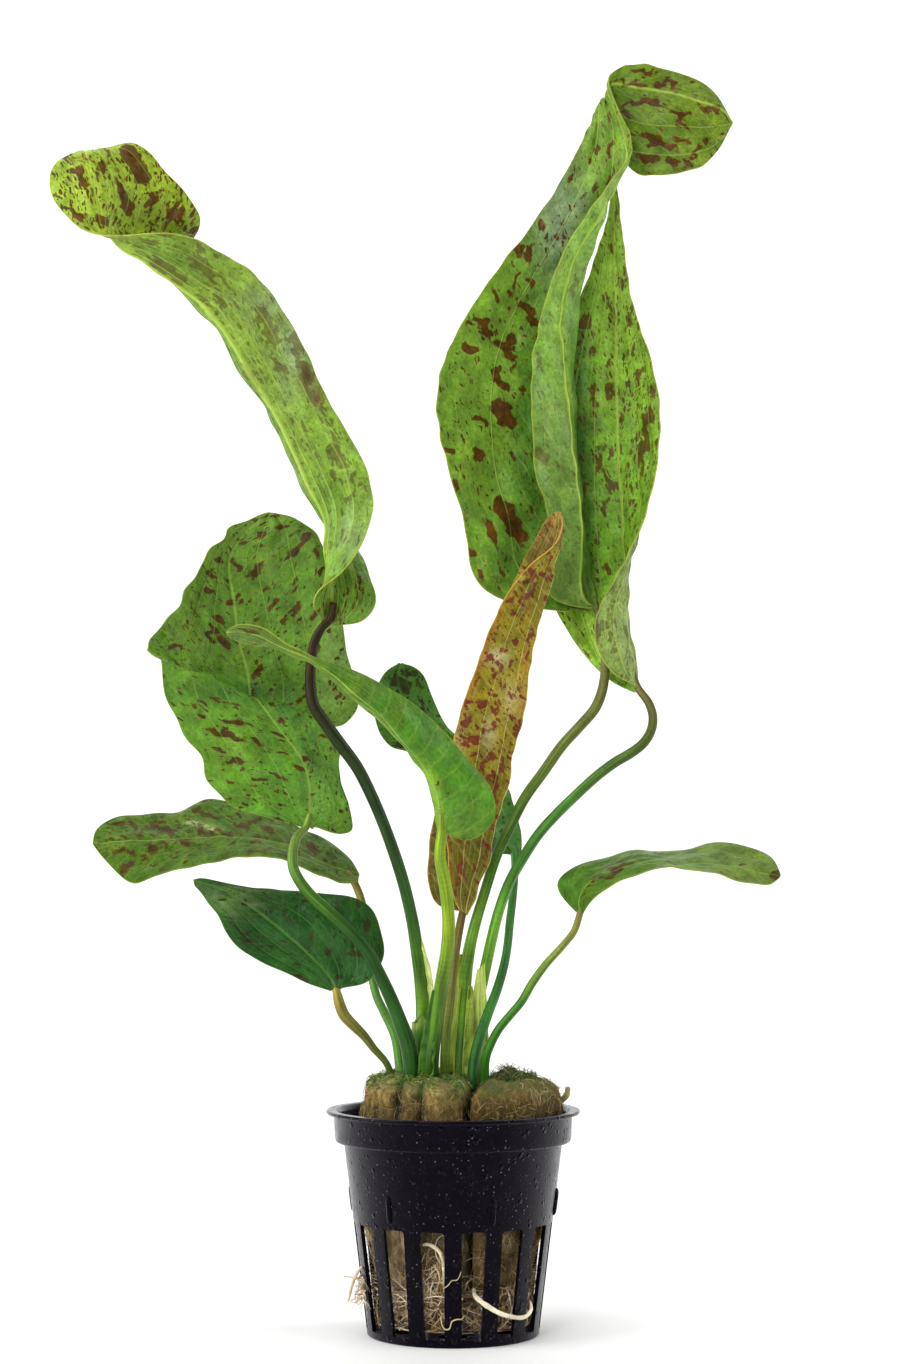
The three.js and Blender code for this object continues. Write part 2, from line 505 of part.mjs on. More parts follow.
      [6.6, STALK_FOOT, -4.6, 1.9], [6.8, 60, -4.8, 1.9], [8, 63.4, -5, 1.9], [9.6, 66.4, -5, 1.9],
      [12.2, 69.6, -5, 1.8], [14.7, 72.6, -5, 1.8], [16.9, 76.4, -5, 1.8], [19.9, 80.6, -5, 1.7],
      [23.7, 84.8, -5, 1.6], [26.2, 88, -4.8, 1.5], [27.4, 91.6, -4.6, 1.5], [28.4, 96, -5.4, 1.3],
    ],
    blade: [
      [[26.9, 92, -4.4], [27.6, 91.7, -4.8], [28.3, 92, -5.2]],
      [[21.8, 97.8, -1], [27.6, 95.6, -5.6], [30, 94.8, -9]],
      [[24.4, 101, 2], [29.5, 98.5, -6], [33, 97.2, -11]],
      [[32, 103.8, 5], [34.5, 101, -6], [37.5, 99.5, -12]],
      [[38.6, 105.8, 6], [40, 102.8, -6], [42.5, 101.3, -12]],
      [[45, 105.2, 6], [46.5, 103.2, -6], [48, 102.2, -12]],
      [[52, 106.3, 5], [53, 102.6, -6], [54, 101.4, -12.4]],
      [[59.6, 107.4, 4], [60, 101.8, -6.4], [60, 99.8, -12]],
      [[66.7, 105.8, 1], [66, 100.9, -7], [66, 98.3, -11]],
      [[70.9, 103.2, -2], [70, 100.2, -7], [69.8, 97.8, -10]],
      [[71.7, 100.9, -5], [71.4, 100, -7], [71, 98.9, -8.6]],
    ],
  },
};

function leaned(marks, lean) {
  return marks.map(([across, up, depth, width]) => [across, up, depth + lean * (up - STALK_FOOT), width]);
}

function leafSolid({ steps, along, across, lean, stalk, blade, sheath = [] }) {
  const [bladeRows, sheathRows] = [blade, sheath].map((rows) => rows.map((row) => leaned(row, lean)));
  const solid = stalkSolid(leaned(stalk, lean), steps).add(bladeSolid(bladeRows, along, across));
  return sheath.length ? solid.add(bladeSolid(sheathRows, SHEATH_STEPS, 1)) : solid;
}

// Cut stub of an old leaf stalk at the front left of the crown, open-topped in life, solid here.
const STUB = [
  [-7.4, STALK_FOOT, -1.5, 3.9], [-7.5, 60, -1.5, 3.9], [-7.5, 66, -1.6, 4], [-7.4, 70.2, -1.7, 4.1],
];

// Pot

// A solid of the pot, turned out from the front to its place among count places round the axis.
function aroundPot(geometry, place, count) {
  geometry.rotateZ((place / count) * 2 * Math.PI);
  return toSolid(geometry);
}

// One round profile, turned about the axis so that a facet faces the front, then cut open.
function potSolid() {
  const profile = [
    [0, 0], [POT.baseRadius, 0], [POT.wallTopRadius, POT.collarFoot],
    [POT.collarRadius - 0.4, POT.collarFoot],
    [POT.collarRadius - 0.1, POT.collarFoot + 0.5], [POT.collarRadius + 0.2, POT.height - POT.rimThickness],
    [POT.rimRadius, POT.height - POT.rimThickness], [POT.rimRadius, POT.height],
    [POT.collarRadius - 0.5, POT.height], [POT.collarRadius - POT.wall, POT.height - 0.6],
    [POT.collarRadius - POT.wall - 0.2, POT.collarFoot + POT.wall],
    [POT.wallTopRadius - POT.wall, POT.collarFoot + 0.4],
    [POT.baseRadius - POT.wall + 0.15, POT.floor], [0, POT.floor],
  ];
  const step = (2 * Math.PI) / POT.facets;
  const turned = new THREE.LatheGeometry(
    profile.map(([r, z]) => new THREE.Vector2(r, z)), POT.facets, step / 2,
  );
  let solid = toSolid(turned.rotateX(Math.PI / 2));

  const half = [POT.slotFootWidth / 2, POT.slotHeadWidth / 2];
  const outline = new THREE.Shape();
  outline.moveTo(-half[0], POT.slotFoot);
  outline.lineTo(half[0], POT.slotFoot);
  outline.lineTo(half[1], POT.slotHead - POT.slotCorner);
  outline.lineTo(half[1] - POT.slotCorner, POT.slotHead);
  outline.lineTo(POT.slotCorner - half[1], POT.slotHead);
  outline.lineTo(-half[1], POT.slotHead - POT.slotCorner);
  for (let i = 0; i < POT.slots; i++) {
    const cut = new THREE.ExtrudeGeometry(outline, { depth: CUT_DEPTH, bevelEnabled: false });
    cut.rotateX(Math.PI / 2);
    cut.translate(0, CUT_DEPTH / 2 - POT.baseRadius, 0);
    solid = solid.subtract(aroundPot(cut, i + 0.5, POT.slots));
  }
  for (let i = 0; i < POT.floorHoles; i++) {
    const radius = POT.floorHoleRadius;
    const hole = new THREE.CylinderGeometry(radius, radius, CUT_DEPTH, POT.holeSides);
    hole.rotateX(Math.PI / 2);
    hole.translate(0, -POT.floorHoleCircle, 0);
    solid = solid.subtract(aroundPot(hole, i, POT.floorHoles));
  }
  const slope = (POT.wallTopRadius - POT.baseRadius) / POT.collarFoot;
  const height = POT.ribHead - POT.ribFoot;
  const middle = (POT.ribFoot + POT.ribHead) / 2;
  for (let i = 0; i < POT.ribs; i++) {
    const rib = new THREE.BoxGeometry(POT.ribWidth, 2 * POT.ribStand, height);
    rib.rotateX(-Math.atan(slope));
    rib.translate(0, -(POT.baseRadius + slope * middle), middle);
    solid = solid.add(aroundPot(rib, i + POT.ribPlace, POT.ribs));
  }
  return solid;
}

// Mineral wool

// Rings of [height, centre x, radius] from the foot up; the folds run up the side.
const WOOL_RINGS = {
  wool_left: [
    [WOOL.foot, 0, 12], [WOOL.foot + 1.2, 0, 16.2], [24, 0, 19.4], [41, 0.4, 20.9],
    [49, 1.6, 21.4], [53.4, 1.6, 20.8], [55.4, 1.6, 19], [55.9, 1.6, 15],
  ],
  wool_right: [
    [WOOL.foot, 0, 12], [WOOL.foot + 1.2, 0, 16.4], [24, 0, 19.6], [41, 0.8, 20.9],
    [48.6, 2, 21.9], [52.4, 1.6, 20.8], [55.8, 0.6, 18], [57.2, 0, 13.6],
  ],
};

function woolSolid(name) {
  const rings = WOOL_RINGS[name].map(([z, x, radius]) => {
    const ring = [];
    for (let k = 0; k < WOOL.sides; k++) {
      const turn = (k / WOOL.sides) * 2 * Math.PI;
      const r = radius * (1 + WOOL.foldDepth * Math.cos(WOOL.folds * turn));
      ring.push(new THREE.Vector3(x + r * Math.cos(turn), r * Math.sin(turn), z));
    }
    return ring;
  });
  const side = name === "wool_left" ? -1 : 1;
  const reach = 2 * POT.rimRadius;
  const keep = new THREE.BoxGeometry(reach, 2 * reach, 2 * reach);
  keep.translate((side * (reach + GAP)) / 2, 0, 0);
  keep.rotateZ(THREE.MathUtils.degToRad(WOOL.splitTurn));
  keep.translate(WOOL.splitX, 0, 0);
  return ringsSolid(rings).intersect(toSolid(keep));
}

// The hole that a stalk or root needs in the wool: wider than it, and longer at both ends.
function holeAround(marks, steps) {
  const past = ([x, y, z, width], next) => [
    x + (x - next[0]) * HOLE_REACH, y + (y - next[1]) * HOLE_REACH, z + (z - next[2]) * HOLE_REACH, width,
  ];
  const last = marks.length - 1;
  const reach = [past(marks[0], marks[1]), ...marks, past(marks[last], marks[last - 1])];
  return stalkSolid(reach, steps + 2, HOLE_SWELL);
}

// Roots: the mat of roots under the wool, and the single ones that show.

const ROOT_MAT_RINGS = [[2.6, 7], [4, 11.5], [7, 14.6], [WOOL.foot - GAP, 14]];
const ROOTS = {
  root_curved_front: [
    [-7, 19.2, -16.4, 0.8], [-6, 19.3, -17, 1], [-4.6, 18.9, -17.2, 1.1], [-3.2, 17.6, -17.4, 1.1],
    [-2.5, 15.4, -17.4, 1.1], [-2.3, 12.8, -17.2, 1.1], [-2.4, 10.2, -16.8, 1],
  ],
  root_outside_front: [
    [4.2, 9.6, -16.4, 0.9], [4.5, 8.1, -18.8, 0.9], [6, 6.7, -20.2, 1], [7.9, 5.4, -19.4, 1.1],
    [9.9, 4.3, -18.2, 1.1], [12.2, 3.6, -16.4, 1.1], [14.4, 3.3, -14.5, 1], [15.9, 3.8, -12.9, 0.9],
    [16.8, 5, -11.8, 0.8],
  ],
  root_outside_left: [
    [-21.6, 14.6, -5.6, 0.8], [-21.8, 12.4, -5.4, 1.2], [-22, 10.2, -5, 1.6], [-22.6, 8.2, -4.8, 1.1],
    [-23.2, 6.6, -4.6, 0.7],
  ],
  root_top_right: [
    [22.6, 50.9, 4.2, 1.2], [23.6, 51.1, 4, 1.4], [24.6, 52.2, 3.8, 1.4], [24.9, 54, 3.8, 1.1],
  ],
};

function rootMatSolid() {
  const rings = ROOT_MAT_RINGS.map(([z, radius]) => {
    const ring = [];
    for (let k = 0; k < ROOT_MAT_SIDES; k++) {
      const turn = (k / ROOT_MAT_SIDES) * 2 * Math.PI;
      const r = radius * (1 + ROOT_MAT_WAVE * Math.cos(3 * turn + z));
      ring.push(new THREE.Vector3(r * Math.cos(turn), r * Math.sin(turn), z));
    }
    return ring;
  });
  return ringsSolid(rings);
}

// Assembly

const plant = new THREE.Group();
plant.name = "potted_sword_plant";

function addPiece(name, solid, colour, roughness) {
  const material = new THREE.MeshStandardMaterial({ color: colour, roughness, metalness: 0 });
  const mesh = new THREE.Mesh(toGeometry(solid), material);
  mesh.name = name;
  plant.add(mesh);
}

addPiece("net_pot", potSolid(), "#2b2730", 0.35);

const stalks = [...Object.values(LEAVES).map(({ stalk, lean }) => leaned(stalk, lean)), STUB];
const feet = stalks.map((marks) => marks.slice(0, 3));
const holes = [...feet, ...Object.values(ROOTS)].map((marks) => holeAround(marks, marks.length - 1));
for (const name of Object.keys(WOOL_RINGS)) {
  let wool = woolSolid(name);
  for (const hole of holes) wool = wool.subtract(hole);
  addPiece(name, wool, "#7d6f2e", 0.95);
}

for (const [name, leaf] of Object.entries(LEAVES)) {
  addPiece(name, leafSolid(leaf), leaf.colour, 0.45);
}
addPiece("cut_stalk_stub", stalkSolid(STUB, STUB_STEPS), "#4d8c34", 0.5);

addPiece("root_mat", rootMatSolid(), "#a9794a", 0.85);
for (const [name, marks] of Object.entries(ROOTS)) {
  addPiece(name, stalkSolid(marks, ROOT_STEPS), "#d9c2a0", 0.6);
}

export default plant;
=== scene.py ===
import math
from functools import partial
from types import SimpleNamespace

import bpy
import numpy as np
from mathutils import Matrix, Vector


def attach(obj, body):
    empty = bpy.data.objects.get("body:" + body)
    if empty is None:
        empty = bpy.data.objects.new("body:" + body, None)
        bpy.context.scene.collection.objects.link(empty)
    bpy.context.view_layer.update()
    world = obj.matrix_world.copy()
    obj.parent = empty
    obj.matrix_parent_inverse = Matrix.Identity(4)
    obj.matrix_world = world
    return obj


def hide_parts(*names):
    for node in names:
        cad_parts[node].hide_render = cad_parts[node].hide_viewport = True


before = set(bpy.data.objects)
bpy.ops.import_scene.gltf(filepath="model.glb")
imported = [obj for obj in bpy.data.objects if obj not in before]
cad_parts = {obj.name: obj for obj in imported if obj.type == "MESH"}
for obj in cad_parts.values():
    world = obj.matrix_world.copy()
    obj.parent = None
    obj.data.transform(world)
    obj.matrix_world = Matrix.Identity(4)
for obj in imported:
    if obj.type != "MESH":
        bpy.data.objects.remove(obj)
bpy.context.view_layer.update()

# A potted sword plant: ten leaves in two blocks of mineral wool in a slotted net pot.
# Lengths are in millimetres up to make_piece, which turns them into metres.

MM = 0.001

# The camera's eye, how far its sight line rises, and the sheet square to that line on which
# marks are given: its distance, the height of its middle, and how much of it the frame shows.
EYE = np.array([0.3, -600.0, 105.0])
SIGHT_RISE = math.radians(3.43)
SHEET_DISTANCE = 601.0
SHEET_CENTRE = 142.6
FRAME_HEIGHT = 298.86
ACROSS = np.array([1.0, 0.0, 0.0])
FORWARD = np.array([0.0, math.cos(SIGHT_RISE), math.sin(SIGHT_RISE)])
UPWARD = np.array([0.0, -math.sin(SIGHT_RISE), math.cos(SIGHT_RISE)])

# Spacing of a blade's grid, the least and most cells across it, and half its thickness at
# the margin and inside it.
BLADE_STEP = 0.45
BLADE_CELLS = (24, 110)
HALF_THICKNESS = (0.15, 0.27)

# Height at which stalks come out of the wool, the spacing and number of a stalk's cells, and
# the grid and half the thickness of a sheath.
STALK_FOOT = 52.6
STALK_STEP = 0.7
STALK_SIDES = 20
SHEATH_GRID = (41, 9)
SHEATH_HALF = 0.14

POT = SimpleNamespace(
    height=48.1, rim_radius=27.5, rim_thickness=0.9, collar_radius=25.7, collar_foot=41.3,
    wall_top_radius=23.7, base_radius=18.55, wall=0.95, floor=1.4, floor_recess=0.35,
    slots=15, slot_foot=1.7, slot_head=24.4, slot_foot_width=4.2, slot_head_width=5.4,
    slot_corner=0.7, hole_radius=3.1, hole_circle=12.2, holes=6, ribs=6, rib_place=0.375,
    rib_foot=25.6, rib_head=31.5, rib_half=0.55,
)
FLOOR_RINGS = [15.5, 9, 4, 0.4]
SLOT_CELLS = 6
BAR_CELLS = 8

# Blocks of wool: rings of [height, centre x, radius], the line inside, the rise and draw-in of
# the shoulder, the side of the cut, pleats (direction, depth, width), hollows behind the slots
# where painted shade darkens the wool (direction, half width in degrees), and colours at five
# heights, whose lighter shoulder and lighter low band are painted light, then the painted
# shade in the folds.
WOOL_BLOCKS = {
    "wool_left": dict(
        rings=[[10.8, 0, 15.0], [12, 0, 16.2], [24, 0, 19.4], [41, 0.4, 20.9], [49, 1.6, 21.4],
               [52.2, 1.6, 21.2]],
        core=(-6, 0), shoulder=(3.4, 4.4), side=1,
        pleats=[(249, 2.4, 1.6), (268, 1.9, 1.3), (222, 1.1, 1.8), (195, 1.3, 1.6), (150, 1.4, 1.8),
                (110, 1.2, 1.6)],
        hollows=[(275, 9), (299, 7)],
        shades="#a8946f #857048 #5c4820 #846c30 #a8955a #2a1e06",
    ),
    "wool_right": dict(
        rings=[[10.8, 0, 15.2], [12, 0, 16.4], [24, 0, 19.6], [41, 0.8, 20.9], [48.6, 2, 21.9],
               [50.6, 1.9, 21.8]],
        core=(12.5, 0), shoulder=(4.7, 8.0), side=-1,
        pleats=[(318, 1.0, 1.8), (350, 1.1, 1.6), (30, 1.3, 1.8), (75, 1.2, 1.6)],
        hollows=[],
        shades="#6e5a36 #5a4725 #3f2f0b #564213 #796626 #201402",
    ),
}
WOOL_SHADE_HEIGHTS = [20, 34, 46, 51, 56]
WOOL_RADIUS = 20
WOOL_SIDES = 200
WOOL_FOOT_ROWS = 7
WOOL_TOP_ROWS = 26
WOOL_SPLIT_X = 5.2
WOOL_SPLIT_TURN = math.radians(-6)

# Spacing of a root's rings, the least height of roots in the pot, and the stub's sides.
ROOT_STEP = 0.3
CAGE_FLOOR = 2.8
STUB_SIDES = 36

# A mark is [across, up, depth, width]: where it shows on the sheet, how far behind (+) or
# before (-) the pot's axis it lies, and how thick a stalk is there. lean adds to the depth
# with height. The rows of a sheath run up both of its edges.
# The rows of a blade run from its left margin to its right one, from its base to its tip.

LEAVES = {}
LEAVES["leaf_tall_left"] = dict(lean=-0.11, stalk=[
    [-7.4, STALK_FOOT, 3.6, 3.3], [-7.3, 62, 4.4, 3.3], [-6.9, 70, 4.8, 3.2], [-7.3, 77, 4, 3.1],
    [-8.4, 85, 2.4, 2.8], [-9.4, 91, 0.6, 2.6], [-11.6, 100, -2, 2.6], [-15.1, 110.3, -3.4, 2.5],
    [-18.1, 117.5, -4.2, 2.5], [-21.4, 124, -5, 2.6], [-25.5, 129.6, -5.6, 2.7], [-28.3, 133.6, -6, 2.6],
    [-30.9, 137.6, -6.3, 2.5], [-31.6, 142, -6.5, 2.3], [-31.4, 147, -6.6, 2.2], [-30.6, 151.5, -6.6, 2],
    [-29, 154.6, -6.6, 1.8], [-27.3, 156.3, -6.2, 1.6], [-26.6, 160, -5.6, 1.3],
], blade=[
    [[-28.6, 155.9, -5.6], [-27.4, 155.6, -6], [-26.2, 155.2, -5.6]],
    [[-31, 158.5, -7.5], [-27, 158.3, -5], [-20.5, 155, -7.5]],
    [[-30.6, 161.8, -9.5], [-26.8, 162.3, -5], [-16.9, 159.8, -7]],
    [[-26, 165.6, -11.5], [-27, 167.5, -5], [-18.5, 165.3, -3]],
    [[-20.4, 171.8, -11], [-27.6, 173, -5.5], [-20.5, 171, 3.5]],
    [[-17.8, 181, -7], [-28.5, 178.5, -6], [-28.6, 177.5, 3]],
    [[-19.8, 190.5, -2], [-32.3, 187, -5.5], [-34.4, 189.5, 4.5]],
    [[-28, 205, 3], [-38.5, 200, -4.5], [-41.5, 204, 5]],
    [[-34.8, 219.5, 5], [-46, 212.5, -4], [-50.2, 218, 5]],
    [[-43.5, 231.7, 3], [-54, 224.5, -4], [-58.6, 227.6, 5]],
    [[-51, 236.6, -1], [-61.5, 230.2, -4], [-63, 232.5, 6]],
    [[-58.6, 240.3, -5.5], [-68.5, 235.5, -3.5], [-62, 237, 8.5]],
    [[-68.5, 240.9, -8], [-74.6, 238.5, -2.5], [-57, 240, 9.5]],
    [[-79, 240.5, -6], [-76, 242.6, 0], [-55.6, 243.6, 8]],
    [[-85.3, 244.8, -2.5], [-74, 247.5, 1], [-57.8, 248.3, 6]],
    [[-88.9, 251, 0.5], [-75, 254, 1], [-63.6, 254.8, 4]],
    [[-87.2, 257.2, 2.5], [-78.3, 259.2, 1.5], [-69.6, 260.8, 3]],
    [[-81, 258, 6], [-79, 258.6, 6], [-77, 259.2, 6]],
], sheaths=[[
    [[-7.4, 58, 3.6], [-4.4, 58, 3]], [[-7.3, 66, 3.8], [-4.3, 65.4, 3.2]],
    [[-7.2, 72, 3.8], [-4.4, 71.4, 3.2]], [[-7.4, 79, 2.8], [-4.9, 78, 2]],
    [[-8.2, 85.6, 1.6], [-7, 85.8, 1]],
]])
LEAVES["leaf_big_back_left"] = dict(lean=-0.14, stalk=[
    [-9.2, STALK_FOOT, -6, 3.7], [-9.4, 59, -6.2, 3.6], [-10.2, 63.5, -6.6, 3.4], [-11.9, 68.3, -7, 3.1],
    [-13.9, 73.3, -7.6, 2.9], [-16.5, 78.8, -8, 2.8], [-19.3, 83.9, -8.3, 2.7], [-23.3, 88.3, -8.4, 2.6],
    [-27.9, 92.6, -8.2, 2.6], [-31.2, 95.6, -7.6, 2.5], [-33.9, 99, -6.6, 2.4], [-35.3, 102, -5.4, 2.3],
    [-35.4, 105.5, -3.8, 2.2], [-34.5, 108.6, -1.6, 2], [-32.7, 110.6, 0.8, 1.8], [-31.8, 113.5, 2.4, 1.4],
], blade=[
    [[-33, 110.7, 1.6], [-31.8, 110.9, 1.4], [-30.6, 111.1, 1.6]],
    [[-40, 112.7, 0.5], [-31.8, 113.8, 2.6], [-26, 109.1, 3.5]],
    [[-47.5, 114.8, -0.5], [-31.6, 118.5, 2.6], [-22.4, 109.9, 5.5]],
    [[-53, 119, -1], [-33, 125, 2.4], [-23.9, 117.5, 6.5]],
    [[-55.8, 126, -1.5], [-37, 130.7, 2], [-25.4, 124, 6.5]],
    [[-60, 133.2, -2], [-40.6, 135.2, 1.6], [-25, 128.3, 6]],
    [[-64.2, 139.5, -3], [-43.2, 138.8, 1.4], [-27, 131, 5]],
    [[-63.8, 147.8, -4.5], [-45.2, 140.9, 2.6], [-30, 134.5, 6]],
    [[-65.8, 148.4, -6], [-44.6, 138.6, 7], [-24.3, 132.5, 9.5]],
    [[-67.6, 150.3, -5.5], [-45.4, 144.5, 9.5], [-21.2, 138, 9.5]],
    [[-62, 157.5, 0], [-47.4, 153, 9], [-23, 147, 8]],
    [[-57, 165.5, 3], [-48.6, 162, 8], [-25.2, 158, 7.5]],
    [[-53.5, 171.8, 5], [-49.4, 169.5, 7.5], [-27.8, 171, 7]],
    [[-48.5, 176.5, 6.5], [-45.5, 175.6, 7.5], [-32, 176.9, 7.5]],
    [[-42.5, 179.6, 8], [-41, 179.8, 8], [-39, 179.9, 8]],
])
LEAVES["leaf_level_left"] = dict(lean=0.35, stalk=[
    [-11.4, STALK_FOOT, 3.8, 2.3], [-11.9, 58, 4.2, 2.2], [-13, 65, 5.2, 2.1], [-15.4, 70.3, 6.2, 2],
    [-17.1, 74, 6.8, 1.9], [-18.4, 80, 7.6, 1.8], [-19, 87, 8.4, 1.8], [-20.3, 94.5, 9.2, 1.8],
    [-21.9, 98.6, 9.8, 1.8], [-23.6, 101, 10, 1.5],
], blade=[
    [[-20.8, 100.3, 10.6], [-21, 99.6, 10], [-21.1, 98.7, 9.4]],
    [[-22.8, 104, 13], [-24, 101.2, 9.6], [-24, 98.5, 6]],
    [[-28.2, 107.8, 16], [-29.5, 103.5, 9.5], [-29.5, 100.1, 4.5]],
    [[-36, 111.6, 18], [-37, 107, 10], [-37.5, 103.7, 4]],
    [[-45.5, 114.9, 19], [-46, 108.5, 10.5], [-46, 104.4, 4]],
    [[-54, 117.2, 19], [-54, 108.3, 10.5], [-54, 102.9, 3.5]],
    [[-59, 114.6, 18], [-61, 108, 9.5], [-61, 101.4, 3]],
    [[-66, 113.5, 17], [-67, 107.7, 9], [-66.5, 99.8, 3]],
    [[-73.5, 113.3, 15], [-72.6, 107.5, 9], [-70, 98, 3]],
    [[-78.4, 110.6, 12], [-76.8, 107.3, 9], [-75.2, 102, 5.5]],
    [[-79.4, 107.9, 9.6], [-79.3, 107.2, 9.2], [-79.1, 106.3, 8.8]],
])
LEAVES["leaf_low_left"] = dict(lean=-0.2, stalk=[
    [-12.6, STALK_FOOT, -1.6, 1.4], [-14.9, 59, -1.8, 1.5], [-17.8, 62.4, -2, 1.6], [-19.7, 64.9, -2, 2],
    [-22, 67.2, -2, 2.3], [-24.2, 69.6, -2, 2.6], [-25.3, 72.4, -1.8, 2.5], [-25.9, 75, -1.1, 2],
    [-26.4, 76.6, 0.4, 1.2],
], blade=[
    [[-27.2, 74.9, -1.6], [-26, 75.4, -1.4], [-24.7, 75.7, -1.6]],
    [[-32, 76.4, -2.6], [-27.4, 78.2, -0.6], [-19.5, 76.2, -1.6]],
    [[-38, 79.4, -3.4], [-30.5, 81.5, -0.4], [-16, 80.3, -0.6]],
    [[-44, 82, -4], [-34.5, 85.4, -0.6], [-15.6, 86.6, 1]],
    [[-49, 86, -4.6], [-39.5, 89.6, -1.2], [-19.5, 94.6, 2.6]],
    [[-51.6, 91, -5.2], [-45, 93.8, -2.2], [-30, 96.3, 2.4]],
    [[-54.2, 94.6, -5.8], [-50.5, 97, -4], [-42, 97.1, 0]],
    [[-57.4, 98.5, -7], [-57.2, 99.3, -6.8], [-56.4, 100, -6.4]],
])
LEAVES["leaf_arching_front"] = dict(lean=-0.3, stalk=[
    [-5.2, STALK_FOOT, -6.6, 3.4], [-5, 60, -6.8, 3.2], [-4.3, 66, -7, 3], [-3.6, 72, -7.4, 2.9],
    [-2.6, 78, -7.8, 3], [-1.6, 84, -8.2, 2.9], [-1.3, 90, -8.6, 2.7], [-2, 97.5, -9, 2.7],
    [-3.2, 104.5, -9.2, 2.4], [-2.7, 110.5, -9.4, 2.2], [-2.8, 115, -10.4, 1.6],
], blade=[
    [[-3.7, 110.2, -8.6], [-2.6, 109.9, -9.4], [-1.5, 109.5, -8.8]],
    [[-4.3, 113, -7.5], [-2.7, 113, -10.2], [2.5, 107.5, -9.4]],
    [[-5, 118.5, -7], [-3.6, 117.5, -11.4], [8.3, 111.2, -8.6]],
    [[-7.5, 124, -7.6], [-6.3, 123, -12.6], [8.7, 118.2, -8.2]],
    [[-12, 129.6, -9], [-10.5, 128.8, -14], [3, 125.4, -8.6]],
    [[-17, 134.4, -11], [-15.3, 134.3, -15.4], [-4.5, 134.1, -10]],
    [[-23, 139.6, -13], [-21, 139.5, -16.4], [-14, 141.3, -12]],
    [[-28, 144, -14.4], [-26.7, 144.2, -16.8], [-23.5, 145.7, -14]],
    [[-32.2, 146.9, -15.4], [-31.4, 147.4, -16], [-30, 147.7, -15.4]],
    [[-38, 149.5, -14.4], [-37.6, 150.4, -15.6], [-36.6, 151, -16]],
    [[-44, 150.7, -13.6], [-43.4, 152.8, -15.6], [-42.6, 154.8, -16]],
    [[-48.4, 151.6, -13.4], [-47.6, 153.6, -15], [-46.8, 155.7, -15.4]],
    [[-50.1, 153, -13.8], [-50.1, 153.5, -14], [-49.9, 154.1, -14.2]],
], sheaths=[[
    [[-8, 53, -7.4], [-4.6, 53, -8.6]], [[-7.8, 60, -7.4], [-4.4, 60, -8.8]],
    [[-6.6, 67, -7.8], [-3.8, 67, -8.8]], [[-4.9, 75, -8.4], [-3, 75, -9]],
]])
LEAVES["leaf_dark_back"] = dict(lean=0.22, stalk=[
    [3.6, STALK_FOOT, -4.2, 2.3], [4.3, 60, -4.4, 2.3], [5.6, 65, -4.6, 2.3], [7.3, 70, -4.2, 2.2],
    [9.2, 75, -2.8, 2.1], [10.8, 80.5, -0.4, 2], [11.6, 85, 2, 1.9], [12.1, 90, 4.4, 1.9],
    [12.9, 97, 7, 1.8], [13.2, 102, 8, 1.7], [12.8, 106.5, 8.8, 1.4],
], blade=[
    [[12.7, 104.8, 8.4], [13.5, 104.5, 8.2], [14.3, 104.2, 8.4]],
    [[6, 105.4, 9.4], [11.6, 107.3, 8.8], [14.9, 107, 9.4]],
    [[0.5, 110.5, 11], [7, 113, 11], [13.4, 114.4, 12]],
    [[-3.5, 118.5, 12], [2.5, 120.5, 13], [10.5, 121.6, 14]],
    [[-8.6, 126.4, 12], [-3, 128.3, 14], [4.5, 128.5, 15]],
    [[-14.8, 129, 11], [-8, 134, 14], [-1.6, 132.6, 15]],
    [[-17.8, 136, 10], [-11.5, 139.5, 13], [-4.7, 139, 14]],
    [[-16.5, 143.8, 11], [-12.7, 143.8, 13], [-7.4, 145.4, 13]],
    [[-12.6, 146.5, 12], [-11.8, 146.6, 12.3], [-10.8, 146.7, 12]],
])
LEAVES["leaf_young_rolled"] = dict(lean=-0.02, stalk=[
    [-1.8, STALK_FOOT, -3.2, 2], [-2, 60, -3.2, 2], [-1.8, 66, -3.2, 2], [-1.2, 71, -3.2, 2],
    [-0.6, 76, -3, 1.9], [0, 81, -2.8, 1.8], [0.7, 86, -2.4, 1.8], [1.7, 91.5, -1.8, 1.8],
    [3, 96.5, -1.2, 1.5],
], blade=[
    [[0.9, 92.6, -0.8], [1.9, 92, -1.6], [1.2, 92.5, -2.6]],
    [[-4, 93.3, 1], [3.4, 95, -1], [-0.6, 96, -4.2]], [[-5.8, 99, 2], [5, 99.5, -0.6], [-1.2, 101, -4.8]],
    [[-5.6, 106, 2.4], [7, 105, -0.2], [-1.8, 107, -5]],
    [[-4.3, 114, 2.8], [8.7, 112.5, 0], [-1.8, 114, -4.8]],
    [[-2.4, 123, 3], [11.2, 121.5, 0.5], [-1, 123, -4.4]],
    [[0.8, 133, 3.4], [13.5, 132.5, 1], [0.5, 133, -4]],
    [[4.2, 143.5, 3.8], [15.6, 143, 1.5], [3.9, 143.5, -3.5]],
    [[8.2, 155, 4], [17.9, 154.5, 2], [8.2, 155, -3]],
    [[12.8, 164.5, 4], [20.2, 164, 2.5], [12.9, 164, -2.2]],
    [[16.8, 172, 4.2], [22.4, 171, 3], [19, 170.3, -0.6]],
    [[19.8, 177.8, 4.2], [24.1, 176.5, 3], [23.3, 174.5, 1]],
    [[22.1, 180.4, 4], [23.2, 179.9, 3.4], [23.9, 179, 2.8]],
])
